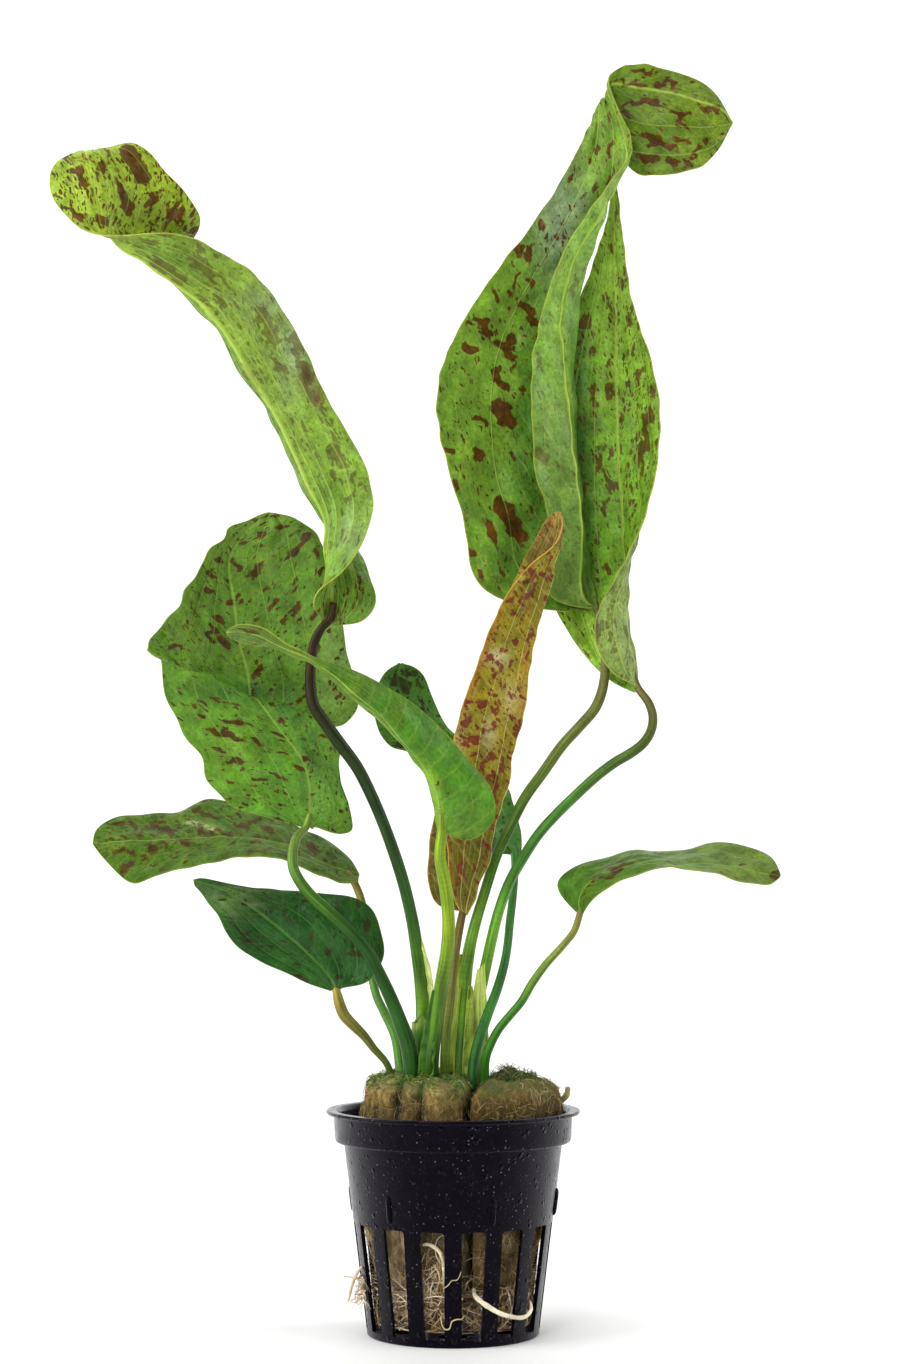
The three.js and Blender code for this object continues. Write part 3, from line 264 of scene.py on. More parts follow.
LEAVES["leaf_tall_right_front"] = dict(lean=0.07, stalk=[
    [0.8, STALK_FOOT, -0.2, 4], [0.9, 60, -0.2, 4], [1.4, 66, -0.2, 3.6], [1.9, 72, -0.4, 3.3],
    [2.5, 79, -0.8, 3], [3.5, 85, -1, 2.6], [4.7, 90, -1.2, 2.4], [6.2, 95, -1.4, 2.3],
    [9.3, 104.6, -1.2, 2.3], [12.3, 111, -0.8, 2.3], [15.5, 117.2, -0.2, 2.4], [19.7, 123.1, 0.8, 2.4],
    [23.6, 128.6, 2, 2.4], [27.6, 133, 3.2, 2.4], [30.7, 136.6, 4, 2.4], [32.2, 140, 4.6, 2.3],
    [33, 144.5, 5.2, 2.1], [32.9, 150, 6, 2], [32, 155, 7.2, 1.8], [31.1, 159, 8.8, 1.4],
    [30.4, 162.6, 10.6, 0.9], [29.7, 166.5, 12.2, 0.4],
], blade=[
    [[30.2, 158, 9.6], [30.7, 158, 9], [31.1, 158.4, 8.6], [30.8, 158.4, 8], [30.2, 158.6, 7.4]],
    [[22, 158.2, 10], [27, 159.6, 10.4], [30.4, 162.6, 10], [27.6, 160.4, 7.6], [24.5, 159.6, 6]],
    [[10, 160.6, 10], [21, 163, 11.8], [29.6, 167, 12], [26.8, 165.4, 8.2], [20.6, 161.8, 6.4]],
    [[4.2, 165.4, 9], [16, 169, 12.4], [28.8, 172.4, 13], [27.2, 172.2, 8.4], [21.4, 170, 6.6]],
    [[2.4, 176, 8.4], [14.5, 178, 12.5], [27.9, 180, 13.4], [26.8, 180, 8], [20.4, 179, 6]],
    [[-1.5, 190, 7.6], [11.5, 190, 12.5], [26.8, 190, 14], [25.5, 190, 7.8], [17.6, 189.5, 3.4]],
    [[-3.8, 201, 7.2], [11, 200.5, 12.5], [26.2, 200, 14], [24.5, 200, 7.4], [17.1, 200, 2.2]],
    [[-3, 211, 7.5], [11.5, 211, 12.5], [26, 211, 14], [23.2, 211, 7.4], [16.9, 211.5, 2.2]],
    [[2, 222, 8.2], [14.5, 221.5, 12.5], [26.9, 223, 14], [22.6, 222, 8], [18.7, 221.5, 3.6]],
    [[9.8, 233.5, 9], [19.5, 232, 12], [28.7, 233, 13], [24.7, 233, 8.6], [22.3, 233, 5]],
    [[17, 242.7, 10], [24.5, 241, 11.5], [31.6, 242, 12], [29.2, 242, 8.6], [27.2, 242.5, 6]],
    [[24.3, 254.2, 11.4], [29.5, 252, 11.2], [35, 252, 10.6], [35.2, 251.4, 8.2], [34.2, 252, 6]],
    [[28.4, 262, 13], [31.8, 260, 12], [35.6, 258.4, 10.4], [38, 258.2, 8], [39.1, 260.2, 6]],
    [[31.3, 267.6, 14.5], [32.4, 270.4, 13.4], [33.9, 268.4, 11.4], [35.5, 266.8, 9], [37, 265.6, 7]],
    [[36.4, 262, 16], [33.4, 267.6, 15], [32.7, 271, 13.2], [32.9, 272.8, 11], [33.6, 273.4, 9]],
    [[38.4, 254.8, 15.6], [37.6, 260.6, 14.6], [35.8, 268.4, 13], [34.3, 273.8, 11.4], [34.6, 276.2, 10.4]],
    [[43, 253.6, 14], [42.5, 259.5, 13], [41.6, 266, 12], [39.8, 273, 11], [38.8, 278, 11]],
    [[50, 254.2, 12.2], [50, 259, 11.2], [49.5, 265.5, 10.4], [48, 271.5, 10.8], [46, 277, 11.8]],
    [[56.2, 256.8, 10.8], [56.5, 260.5, 10.2], [56, 265, 9.8], [55.5, 269, 10.4], [54.7, 273.8, 11.2]],
    [[58.4, 259.9, 10.2], [59.2, 262.5, 10], [59.4, 265.1, 9.8], [59, 267.8, 10], [57.8, 271.2, 10.6]],
    [[60.8, 263.8, 10], [61, 264.5, 9.9], [61.1, 265.1, 9.9], [61, 265.8, 10], [60.7, 266.6, 10.1]],
], sheaths=[[
    [[-3.3, 53, -1.9], [0, 53, -2.5]], [[-3.2, 60, -1.9], [0.1, 60, -2.5]],
    [[-2.5, 67, -1.8], [0.6, 67, -2.3]], [[-0.9, 75, -1.6], [1.4, 75, -2]],
    [[0.9, 83, -1.4], [2.2, 83, -1.8]],
], [
    [[1.6, 53, -2.7], [4.7, 53, -1.5]], [[1.8, 61, -2.7], [4.6, 61, -1.5]],
    [[2.4, 69, -2.5], [4.1, 69, -1.5]], [[3, 76, -2.2], [3.9, 76, -1.6]],
]])
LEAVES["leaf_tall_right_back"] = dict(lean=0.07, stalk=[
    [3, STALK_FOOT, 4.2, 2.4], [3.2, 60, 4, 2.5], [3.9, 66, 3.4, 2.6], [4.8, 71, 2.6, 2.6],
    [5.9, 76, 1.6, 2.6], [7, 81, 0.4, 2.5], [8.1, 86, -0.6, 2.4], [9.6, 92, -1.6, 2.3],
    [12, 98.6, -2.2, 2.3], [15, 104, -2.6, 2.3], [18.4, 109.2, -2.8, 2.3], [22.3, 113.6, -2.8, 2.3],
    [26.4, 117.6, -2.6, 2.3], [31.2, 122, -2.4, 2.3], [35.2, 125, -2.2, 2.3], [38.6, 127, -2, 2.3],
    [41.4, 129.2, -1.8, 2.2], [43.1, 132, -1.4, 2.1], [43.5, 135, -1, 2], [42.6, 138, -0.4, 1.9],
    [40.2, 141.4, 0.6, 1.7], [38.8, 145.5, 2.6, 1.4],
], blade=[
    [[39.2, 140.4, 1.6], [39.7, 140.6, 1.2], [40.1, 141, 0.6], [40, 141.5, -0.2], [39.7, 142, -1]],
    [[34, 142.8, 9], [37, 142.3, 6.4], [39.6, 144, 2.4], [38.2, 144.4, -1.6], [35.5, 143.8, -3.2]],
    [[27.8, 149.2, 13.6], [33, 147.8, 12], [38.4, 149.5, 5.6], [37, 149.8, -1.6], [31.4, 149.4, -3.8]],
    [[22.4, 158, 16], [30.6, 157, 14.4], [37.6, 157, 8], [36, 157, -0.6], [30.9, 157, -3.4]],
    [[19, 166, 17], [29, 165, 16.6], [37.2, 166, 12], [37.4, 166, 3.6], [34.6, 164.3, 0]],
    [[18, 177, 18.4], [28, 177, 18.2], [37, 177, 15.4], [40.6, 177, 9], [40.1, 174.6, 4.6]],
    [[18.5, 190, 18.8], [28, 190, 18.6], [36, 190, 17], [42, 190, 13], [44.3, 189.5, 8.6]],
    [[20, 203, 18.8], [28.5, 203, 18.6], [35.5, 203, 17.6], [41.5, 203, 15], [45, 203, 11]],
    [[23, 215, 18.6], [30, 215, 18.6], [35.5, 215, 18], [39.6, 215, 16.4], [42.7, 214.6, 13.6]],
    [[28, 228, 18.8], [32, 227, 19], [35.3, 226, 18.8], [37.6, 225, 17.8], [39.1, 225, 16.4]],
    [[31.4, 237.5, 19.4], [33.3, 237, 19.6], [35, 237, 19.6], [36.3, 236.6, 19], [37.4, 236.2, 18]],
    [[33.6, 245, 20], [34.3, 245.6, 20], [35, 246, 20], [35.6, 245.6, 20], [36.3, 245, 19.4]],
    [[34.4, 251.4, 20.4], [34.7, 251.6, 20.4], [35, 251.8, 20.4], [35.3, 251.6, 20.4], [35.6, 251.4, 20.4]],
], sheaths=[[
    [[3, 54, 2.2], [7.6, 54.4, 1]], [[3.2, 60, 1.8], [7.6, 61, 0.6]], [[3.3, 66, 0.9], [7.4, 67.5, 0.2]],
    [[3.9, 73, 0.1], [7, 75, -0.4]], [[4.9, 79.4, -0.7], [6.6, 81, -0.9]],
]])
LEAVES["leaf_small_right"] = dict(lean=-0.3, stalk=[
    [6.6, STALK_FOOT, -4.6, 1.9], [6.8, 60, -4.8, 1.9], [8, 63.4, -5, 1.9], [9.6, 66.4, -5, 1.9],
    [12.2, 69.6, -5, 1.8], [14.7, 72.6, -5, 1.8], [16.9, 76.4, -5, 1.8], [19.9, 80.6, -5, 1.7],
    [23.7, 84.8, -5, 1.6], [26.2, 88, -4.8, 1.5], [27.4, 91.6, -4.6, 1.5], [28.4, 96, -5.4, 1.3],
], blade=[
    [[26.9, 92, -4.4], [27.6, 91.7, -4.8], [28.3, 92, -5.2]],
    [[21.8, 97.8, -1], [27.6, 95.6, -5.6], [30, 94.8, -9]],
    [[24.4, 101, 2], [29.5, 98.5, -6], [33, 97.2, -11]],
    [[32, 103.8, 5], [34.5, 101, -6], [37.5, 99.5, -12]],
    [[38.6, 105.8, 6], [40, 102.8, -6], [42.5, 101.3, -12]],
    [[45, 105.2, 6], [46.5, 103.2, -6], [48, 102.2, -12]],
    [[52, 106.3, 5], [53, 102.6, -6], [54, 101.4, -12.4]],
    [[59.6, 107.4, 4], [60, 101.8, -6.4], [60, 99.8, -12]],
    [[66.7, 105.8, 1], [66, 100.9, -7], [66, 98.3, -11]],
    [[70.9, 103.2, -2], [70, 100.2, -7], [69.8, 97.8, -10]],
    [[71.7, 100.9, -5], [71.4, 100, -7], [71, 98.9, -8.6]],
])

# Spots read off the photo: for a range of places across the blade, slanting boxes of
# [across, up, length, width, turn] in mm and degrees on the sheet.

SPOTS = {}
SPOTS["leaf_tall_left"] = [(0, 1, [
    [-70.6, 258.1, 4.4, 3.3, -50], [-68.9, 254, 5.5, 3.1, -65], [-73, 249.9, 6.8, 1.6, -70],
    [-71.5, 246.4, 3.5, 2.2, -80], [-77.1, 255.5, 2.6, 1.5, -75], [-82, 253.7, 3.3, 2, -70],
    [-77.1, 243.6, 3.3, 1.8, -25], [-82.6, 245, 3.8, 1.5, -25], [-87, 248.9, 1.6, 0.9, -20],
    [-83.5, 254.6, 1.3, 0.9, -40], [-66.4, 248.2, 3.3, 1.3, 60], [-64.7, 249.7, 2.7, 0.9, 65],
    [-62.4, 244.8, 4, 1.5, 65], [-60.1, 245.3, 4.2, 1.1, 80], [-57.1, 241.8, 2.7, 1.3, 70],
    [-65, 244.2, 2.4, 0.7, 60], [-66.2, 242.1, 2.7, 0.7, -45], [-84.8, 257.3, 1.6, 0.7, -20],
    [-83.9, 257.9, 2, 0.7, -10], [-76.2, 258.8, 1.3, 0.5, -30], [-81.1, 251.7, 1.6, 1.1, -50],
    [-79.4, 248.2, 1.1, 0.7, -60], [-74.4, 246.5, 1.3, 0.7, -60], [-59.3, 243, 1.5, 0.5, 70],
    [-71.6, 248, 2.7, 1.8, -70], [-85.3, 246.2, 2.4, 0.7, -30], [-67.1, 249.9, 1.3, 0.7, 60],
    [-54.8, 233.4, 6.4, 2.2, -50], [-55.7, 237.5, 1.8, 1.3, -60], [-62.5, 232.5, 8.2, 2, -35],
    [-51.4, 226.3, 3.1, 1.6, -55], [-41.1, 221.1, 8.7, 2.7, -65], [-44.7, 209.2, 6, 1.6, -60],
    [-32.4, 210.1, 4.7, 2, -65], [-31.5, 205.6, 4.6, 1.3, -65], [-28.5, 203.6, 2.4, 0.9, -60],
    [-27.1, 199.4, 2, 1.1, -70], [-25.7, 192.1, 5.1, 2.7, -55], [-22.1, 188, 3.3, 1.3, 80],
    [-22.8, 183.2, 2.7, 0.9, 60], [-21, 185.7, 1.5, 0.5, 70], [-34.7, 216.1, 6.4, 2, -80],
    [-38.8, 212.4, 5.5, 1.3, -60], [-68, 239.6, 4.6, 0.9, -20], [-58, 235.2, 1.8, 1.1, -50],
    [-50.7, 230.7, 3.7, 1.3, -45], [-41.1, 228.9, 2.7, 0.7, -50], [-24.2, 168.6, 1.3, 0.5, 60],
])]
SPOTS["leaf_big_back_left"] = [(0, 1, [
    [-61.5, 150, 3.2, 1.3, -4], [-53.4, 166.2, 2, 1.5, -70], [-53.8, 162.4, 2.3, 1.5, -50],
    [-55.5, 158.9, 1.6, 0.7, -5], [-51.7, 156.2, 2.3, 1.5, -60], [-58.4, 155.5, 1.8, 0.9, -60],
    [-53.6, 153.2, 2.6, 0.9, -8], [-50.3, 150.8, 3.6, 1.6, -65], [-56.9, 144.1, 1.5, 0.7, -35],
    [-59.6, 141.2, 2.1, 0.7, -8], [-55.4, 138.2, 1.8, 0.9, -12], [-57, 136.9, 1.2, 0.9, -45],
    [-48.4, 133.7, 4, 1, -4], [-49.9, 131.1, 6.6, 1.5, -17], [-43.8, 129.7, 1.8, 0.6, -8],
    [-48, 125.2, 4.7, 1.3, 4], [-51.7, 127.8, 2.5, 0.6, -8], [-53.8, 121.5, 1.2, 0.7, -30],
    [-49.7, 121.1, 1.5, 0.6, -10], [-42.6, 121.1, 3.3, 0.9, -14], [-39.6, 127.1, 1.8, 0.3, -10],
    [-37.1, 120.8, 2.9, 0.4, -40], [-37.7, 116.1, 1.5, 0.3, -8], [-51.4, 169.3, 2, 1.4, -60],
    [-47.8, 167.8, 2.2, 0.9, -70], [-43.8, 166.5, 3.3, 1.5, 50], [-46.2, 172.8, 1.5, 0.9, 60],
    [-42.4, 174.9, 2.1, 1.4, -50], [-42.7, 172.3, 1.4, 0.7, -30], [-40.1, 179, 3.1, 0.7, 22],
    [-37.5, 176.7, 2.3, 0.7, 30], [-34.4, 175.1, 2, 0.6, 35], [-34.9, 171.4, 5.7, 1, 42],
    [-32.9, 174.3, 1.8, 0.7, 40], [-30.2, 171.1, 2, 0.6, 80], [-29.3, 166.7, 2.2, 0.9, 70],
    [-28.9, 163.9, 1, 0.9, 20], [-41.3, 163.2, 1.4, 0.9, 60], [-39.6, 160, 2.5, 1.3, 45],
    [-43.5, 159.7, 0.9, 0.5, 60], [-49.1, 160, 1.9, 1.2, -60], [-49.5, 164.9, 0.9, 0.6, -50],
    [-34.9, 164.5, 1.2, 0.6, 30], [-34.8, 158.4, 2.3, 0.9, 50], [-37.3, 155.8, 2.1, 0.9, 45],
    [-43, 156.6, 1.2, 0.7, 40], [-29.7, 150.2, 3.3, 0.9, 80], [-43, 144.7, 3.3, 1.3, 55],
    [-42.5, 148.5, 0.9, 0.6, 50], [-34, 138.5, 1.5, 0.9, 45], [-25.9, 139.2, 1.3, 0.9, 40],
    [-28.6, 130.9, 0.9, 0.9, 30], [-26.9, 128.2, 0.9, 0.6, 70], [-25, 113.9, 0.9, 0.6, 30],
    [-26.3, 141, 0.9, 0.4, 60], [-57.4, 163.4, 1.4, 0.6, -20], [-57.9, 159.1, 1, 0.4, -60],
    [-22.4, 136, 0.9, 0.3, 70], [-59.7, 147.7, 1.5, 0.5, -15], [-50.4, 138.4, 3.5, 0.3, -12],
    [-58.9, 138.1, 1.2, 0.3, -10],
])]
SPOTS["leaf_level_left"] = [(0, 1, [
    [-73.9, 111.4, 2.1, 0.9, 5], [-70.5, 111.3, 1.5, 1.3, 0], [-65.8, 110.7, 2.6, 1, -10],
    [-63, 109.9, 3.9, 1.4, -12], [-55.2, 113.7, 4.5, 1.3, -20], [-52.8, 113, 2.6, 1, -20],
    [-55.7, 110, 2.3, 1.5, -50], [-50.7, 109.7, 4.5, 0.6, -8], [-48.9, 113.1, 1.3, 0.6, -30],
    [-46.9, 110.9, 3.2, 1, -5], [-43.8, 112.3, 2.8, 1, 10], [-41, 110.4, 2.6, 1.3, -45],
    [-59.1, 107.5, 2.4, 1.5, 0], [-66.3, 105.9, 2.2, 1.2, -5], [-73.5, 105.8, 2.6, 1.2, 10],
    [-70.7, 105.3, 1.9, 0.9, -20], [-67.6, 104.2, 1.9, 0.6, -5], [-71.8, 101.8, 3.9, 1.3, 25],
    [-77.2, 104.1, 1.7, 0.6, -10], [-76, 109.9, 1.9, 0.6, 10], [-63.8, 107.3, 1.9, 0.6, 0],
    [-61.2, 104.1, 1.5, 0.5, 0], [-75.4, 108, 1.3, 0.6, 0], [-68.9, 109.3, 1.3, 0.6, -10],
    [-65, 112.2, 1.9, 0.6, 0], [-43.8, 105.1, 2.6, 0.5, 5], [-50.9, 104.4, 1.9, 0.4, 0],
    [-35.4, 106.7, 2.6, 0.8, -35], [-30.9, 106, 3.2, 1.2, -35], [-28.3, 103.5, 1.9, 0.6, -30],
    [-25.7, 100.9, 1.7, 0.6, -30], [-37.3, 105.1, 2.6, 0.5, -20],
])]
SPOTS["leaf_low_left"] = [(0, 1, [
    [-44.4, 85.9, 3.4, 0.8, 5], [-36, 89.8, 1.5, 0.6, 20], [-31.2, 86.8, 1.7, 0.9, 70],
    [-21.5, 83.1, 3.9, 1.3, 0], [-19, 89.9, 3.9, 1.3, 80], [-16.4, 84.5, 2.8, 1, 75],
    [-32.5, 94.7, 1.9, 0.8, 20], [-30.2, 91.2, 1.7, 0.6, 30], [-27.7, 83.8, 1.5, 0.6, 60],
    [-46.4, 88, 3.9, 0.6, -35], [-41.8, 91.9, 2.6, 0.5, -35], [-38.6, 92.8, 1.9, 0.5, -20],
    [-25.7, 93.5, 1.3, 0.6, 60], [-41.2, 84.8, 1.9, 0.5, 0], [-25.1, 77.7, 1.3, 0.8, 0],
    [-26.4, 87.4, 1, 0.5, 60],
])]
SPOTS["leaf_arching_front"] = [(0, 1, [
    [-44.9, 153.7, 4.8, 1, -8],
])]
SPOTS["leaf_dark_back"] = [(0, 1, [
    [-11.7, 142.3, 4, 2.4, -30], [-13, 139.6, 2.2, 1.5, 0], [-9.8, 144.6, 3.7, 1.1, -15],
    [-8, 142.3, 1.8, 0.9, -50], [-7.1, 137.7, 2.7, 0.9, -60], [-13.9, 132.7, 1.1, 0.7, 0],
    [-12.1, 128.6, 1.5, 0.7, 0],
])]
SPOTS["leaf_young_rolled"] = [(0.5, 1, [
    [16.6, 165.9, 3.7, 1, 70], [15.4, 167.6, 2.4, 0.9, 60], [20.7, 168.8, 2.9, 0.9, 75],
    [19.8, 166, 2.7, 0.7, 75], [13, 157.6, 1.6, 1.1, 30], [13.4, 151.4, 2.2, 1.1, 80],
    [16.2, 148.5, 1.8, 0.9, 80], [9.1, 144.3, 1.7, 1.1, 30], [7.6, 147.7, 1.3, 0.9, 20],
    [8.9, 140, 1.7, 0.9, 20], [2.7, 133.9, 2.7, 1.4, 30], [4.3, 130, 2.7, 1.6, 10],
    [8.9, 136.4, 2.9, 1.1, 75], [6.3, 124, 3.3, 0.9, 80], [8.9, 119.5, 4, 1.2, 78],
    [8.1, 126.8, 1.8, 0.9, 60], [10.3, 124, 2.7, 0.7, 80], [1.1, 101.2, 4, 0.5, 88],
    [2.1, 101.5, 2.7, 0.5, 88], [13.9, 155.1, 1.3, 0.7, 60], [6.1, 137.7, 1.3, 0.9, 0],
    [16.6, 152.4, 1.8, 0.7, 80], [18, 164.2, 1.8, 0.7, 70], [9.8, 155.1, 1.3, 0.9, 20],
    [8.4, 132.7, 2.2, 0.7, 70], [6, 131.4, 1.6, 0.9, 40], [15.9, 161.5, 2.2, 1, 30],
    [12.4, 160.4, 1.2, 0.8, 60], [10.4, 149.6, 1.6, 0.8, 20], [5.2, 143.2, 1.8, 0.8, 60],
    [3.4, 138.4, 1.6, 0.9, 20], [11, 141.8, 1.6, 0.8, 75], [4.4, 126.4, 1.6, 0.8, 30],
    [7.4, 121.4, 2, 0.7, 75], [12.2, 146.4, 1.4, 0.7, 40], [2.6, 129, 1.3, 0.9, 0],
    [6.6, 134.2, 1.1, 0.8, 40], [14.6, 158.8, 1.5, 0.6, 75],
])]
SPOTS["leaf_tall_right_front"] = [(0, 0.52, [
    [14.2, 237.5, 2.8, 1.7, 60], [16.5, 236.7, 3.4, 1.2, 75], [13.6, 230.6, 2.8, 0.8, 75],
    [16.6, 229.5, 2.6, 0.9, -75], [12, 228, 1.2, 0.7, -60], [12.2, 224.4, 1, 0.9, 0],
    [16.4, 223.9, 4.3, 1.7, -40], [17.2, 221.2, 3.1, 1.5, 80], [5.3, 222.2, 2.2, 1.2, -50],
    [6.8, 220, 4.3, 1.9, -65], [3.3, 215.7, 2.9, 1.4, -45], [10.7, 216.2, 4.1, 1.9, -35],
    [12.7, 217.4, 2.1, 2.1, 0], [12.3, 214.2, 2.6, 1.4, -30], [3.7, 221.1, 1.2, 0.7, 0],
    [9.2, 209.8, 3.1, 1.9, -55], [10.7, 207.5, 2.9, 1.2, -40], [14.7, 206.5, 1.9, 0.9, -80],
    [13.2, 211.3, 1.7, 1, 80], [5.5, 200.1, 4, 1.4, -30], [10.5, 201.8, 5.2, 3.4, -40],
    [11.7, 199.5, 3.4, 2.4, -60], [5.2, 192.5, 3.4, 1.7, -50], [-1.3, 193.3, 2.9, 1.2, -30],
    [0.3, 185.9, 3.1, 1.2, -65], [11, 180.4, 6, 3.4, -60], [13.5, 175.9, 6.9, 3.1, -55],
    [8.1, 175.4, 4.8, 1.4, -60], [3.7, 171.4, 2.4, 1.4, -60], [9.5, 164.9, 1.7, 0.7, -20],
    [5.7, 166.4, 2.1, 0.9, -50], [34.1, 259.4, 2.6, 0.9, 80], [31.2, 258.8, 1.5, 0.8, 70],
    [34.1, 252.9, 2.2, 0.9, 70], [30.9, 251.1, 2.2, 0.9, 80], [33.9, 266.3, 1.5, 0.7, 80],
    [29.4, 256.6, 1, 0.7, 60], [20.4, 240.1, 2.1, 0.9, 80], [19, 242.7, 2.1, 1.2, 80],
    [27.9, 253.9, 1.2, 0.5, 70], [28.4, 249.1, 1.4, 0.5, 60], [25.6, 253.3, 1.4, 0.8, 30],
    [22.4, 240.1, 2.2, 0.8, 75],
]), (0, 1, [
    [41.1, 276.5, 4.6, 1, -5], [38.4, 273.8, 6, 1, -8], [47.3, 274, 3.8, 1.4, -12],
    [45.3, 273.2, 2.6, 1, -10], [42.5, 269.7, 5.7, 1.4, -3], [39.3, 269.5, 2.6, 1, -10],
    [49.3, 267, 4.1, 1.5, -4], [54.6, 268.5, 2.2, 0.7, -30], [57.3, 267.8, 2.4, 1.2, -40],
    [43.8, 261.3, 5.2, 2.1, -30], [46.8, 260.1, 4.3, 1.4, -20], [42.3, 262.1, 3.1, 1.4, -10],
    [49.9, 261.3, 4.3, 0.9, -5], [42.3, 257.3, 4.1, 1.5, -4], [47.9, 256.6, 2.6, 1.5, -50],
    [51.1, 256.3, 2.6, 1, -10], [53.1, 259.4, 2.2, 0.9, 20], [58.8, 262.5, 1.7, 0.9, -40],
    [39.3, 262.4, 1.9, 0.7, -10], [37.4, 269, 2.2, 0.9, 40], [55.3, 261.1, 1.7, 0.7, 0],
    [52.5, 257.9, 1.7, 0.7, 10], [37.4, 267, 2.2, 0.7, -30],
]), (0.5, 1, [
    [19.1, 192, 4.5, 2.1, -60], [19.6, 186.9, 1.7, 1, 0], [18.4, 212.3, 1.7, 1, 60],
    [26.2, 229.7, 4.3, 1, 75],
])]
SPOTS["leaf_tall_right_back"] = [(0.86, 1, [
    [34.2, 163.2, 3.1, 1.3, 35], [31, 153.4, 5.1, 1.3, 88],
]), (0, 1, [
    [28.9, 221.4, 3.4, 2, 80], [30, 215.2, 1.2, 0.8, 60], [27.4, 217, 1.4, 0.8, 70],
    [30.2, 206.5, 2, 0.9, 80], [33.9, 206.3, 2.5, 1.1, -80], [33.9, 212.3, 2.2, 1, -85],
    [33.8, 225.2, 2.9, 0.7, 80], [31.8, 191.3, 3.9, 0.9, 80], [33.6, 186.9, 4.6, 1.5, -65],
    [34.4, 193.3, 2.5, 0.7, 80], [42, 199.3, 5.1, 1.4, 72], [41.1, 193.3, 4.2, 1.9, 75],
    [41.8, 195.8, 3.4, 1, 75], [40.3, 209.5, 2.9, 1, 80], [41.3, 211.3, 1.7, 0.7, 80],
    [37.4, 231.2, 2, 0.5, 80], [34.9, 223, 1.7, 0.4, 80], [32.9, 181.4, 2.5, 0.8, 80],
    [37.9, 220.2, 1.7, 0.4, 80], [43.3, 205.8, 2, 0.5, -80], [31.4, 174.4, 1.7, 0.5, 80],
    [28.4, 184.9, 1.5, 0.7, 80],
])]
SPOTS["leaf_small_right"] = [(0, 1, [
    [34.9, 101, 4.6, 1.1, 35], [31.7, 99.9, 2.2, 0.7, 30], [38.1, 103.1, 3.7, 0.7, 20],
    [70.9, 100.1, 2.4, 1.6, 20],
])]

# Points, curves and surfaces


def linear(code):
    """Linear red, green and blue of an sRGB hex colour."""
    value = np.array([int(code[i:i + 2], 16) for i in (1, 3, 5)]) / 255
    return np.where(value <= 0.04045, value / 12.92, ((value + 0.055) / 1.055) ** 2.4)


def gradient(codes, place, stops=None):
    """Linear colours read at places along a row of hex colours, which lie at the stops, or
    evenly from 0 to 1."""
    shades = np.array([linear(code) for code in codes])
    stops = np.linspace(0, 1, len(shades)) if stops is None else stops
    return np.stack([np.interp(place, stops, shades[:, k]) for k in range(3)], axis=-1)


def drawn_colours(draw, codes, count, brightest):
    """One of the hex colours at random for each strand, at 0.8 to brightest times its light."""
    shades = np.array([linear(code) for code in codes.split()])
    return shades[draw.integers(0, len(shades), count)] * draw.uniform(0.8, brightest, (count, 1))


def packed(*parts):
    """Arrays and numbers spread to one shape and set side by side as a last axis."""
    return np.stack(np.broadcast_arrays(*parts), axis=-1)


def unit(vectors):
    """Vectors divided by their lengths."""
    return vectors / np.maximum(np.linalg.norm(vectors, axis=-1, keepdims=True), 1e-9)


def smooth_step(low, high, value):
    """0 below low, 1 above high, and 3t squared less 2t cubed between them."""
    part = np.clip((value - low) / (high - low), 0, 1)
    return part * part * (3 - 2 * part)


def placed(marks, lean=0.0):
    """Point of a mark: the line from the eye through (across, up) on the sheet, followed to
    the mark's depth plus lean times its height above the stalk's foot."""
    marks = np.asarray(marks, float)
    depth = marks[..., 2:3] + lean * (marks[..., 1:2] - STALK_FOOT)
    ray = FORWARD * SHEET_DISTANCE + UPWARD * (marks[..., 1:2] - SHEET_CENTRE) + ACROSS * marks[..., 0:1]
    return EYE + ray * ((depth - EYE[1]) / ray[..., 1:2])


def on_sheet(points):
    """(across, up) at which points show on the sheet, the reverse of placed."""
    ray = points - EYE
    scale = SHEET_DISTANCE / (ray @ FORWARD)
    return ray[..., 0] * scale, SHEET_CENTRE + (ray @ UPWARD) * scale


def spline(points, places):
    """Smooth curves through points, read at places from 0 to 1. Each span is a cubic whose
    end slopes weigh the gaps on both sides by their square roots (centripetal Catmull-Rom)."""
    points = np.asarray(points, float)
    last = len(points) - 1
    run = np.concatenate([[2 * points[0] - points[1]], points, [2 * points[-1] - points[-2]]])
    spot = np.asarray(places) * last
    index = np.minimum(np.floor(spot).astype(int), last - 1)
    t = (spot - index).reshape([-1] + [1] * (points.ndim - 1))
    p0, p1, p2, p3 = (run[index + k] for k in range(4))
    before, middle, after = (np.sqrt(np.linalg.norm(b - a, axis=-1, keepdims=True))
                             for a, b in ((p0, p1), (p1, p2), (p2, p3)))
    middle = np.where(middle < 1e-4, 1.0, middle)
    before, after = (np.where(gap < 1e-4, middle, gap) for gap in (before, after))
    slope1 = ((p1 - p0) / before - (p2 - p0) / (before + middle) + (p2 - p1) / middle) * middle
    slope2 = ((p2 - p1) / middle - (p3 - p1) / (middle + after) + (p3 - p2) / after) * middle
    return (p1 + slope1 * t + (3 * (p2 - p1) - 2 * slope1 - slope2) * t**2
            + (2 * (p1 - p2) + slope1 + slope2) * t**3)


def run_length(path):
    """Distance along a path of points, from 0 at its first one."""
    return np.concatenate([[0.0], np.cumsum(np.linalg.norm(np.diff(path, axis=0), axis=-1))])


def even_places(points, step, least=1):
    """Places from 0 to 1 on the smooth curve through points that lie an even step apart, and
    how far along the curve each of them is."""
    fine = np.linspace(0, 1, 600)
    run = run_length(spline(points, fine))
    along = np.linspace(0, run[-1], max(int(run[-1] / step), least) + 1)
    return np.interp(along, run, fine), along


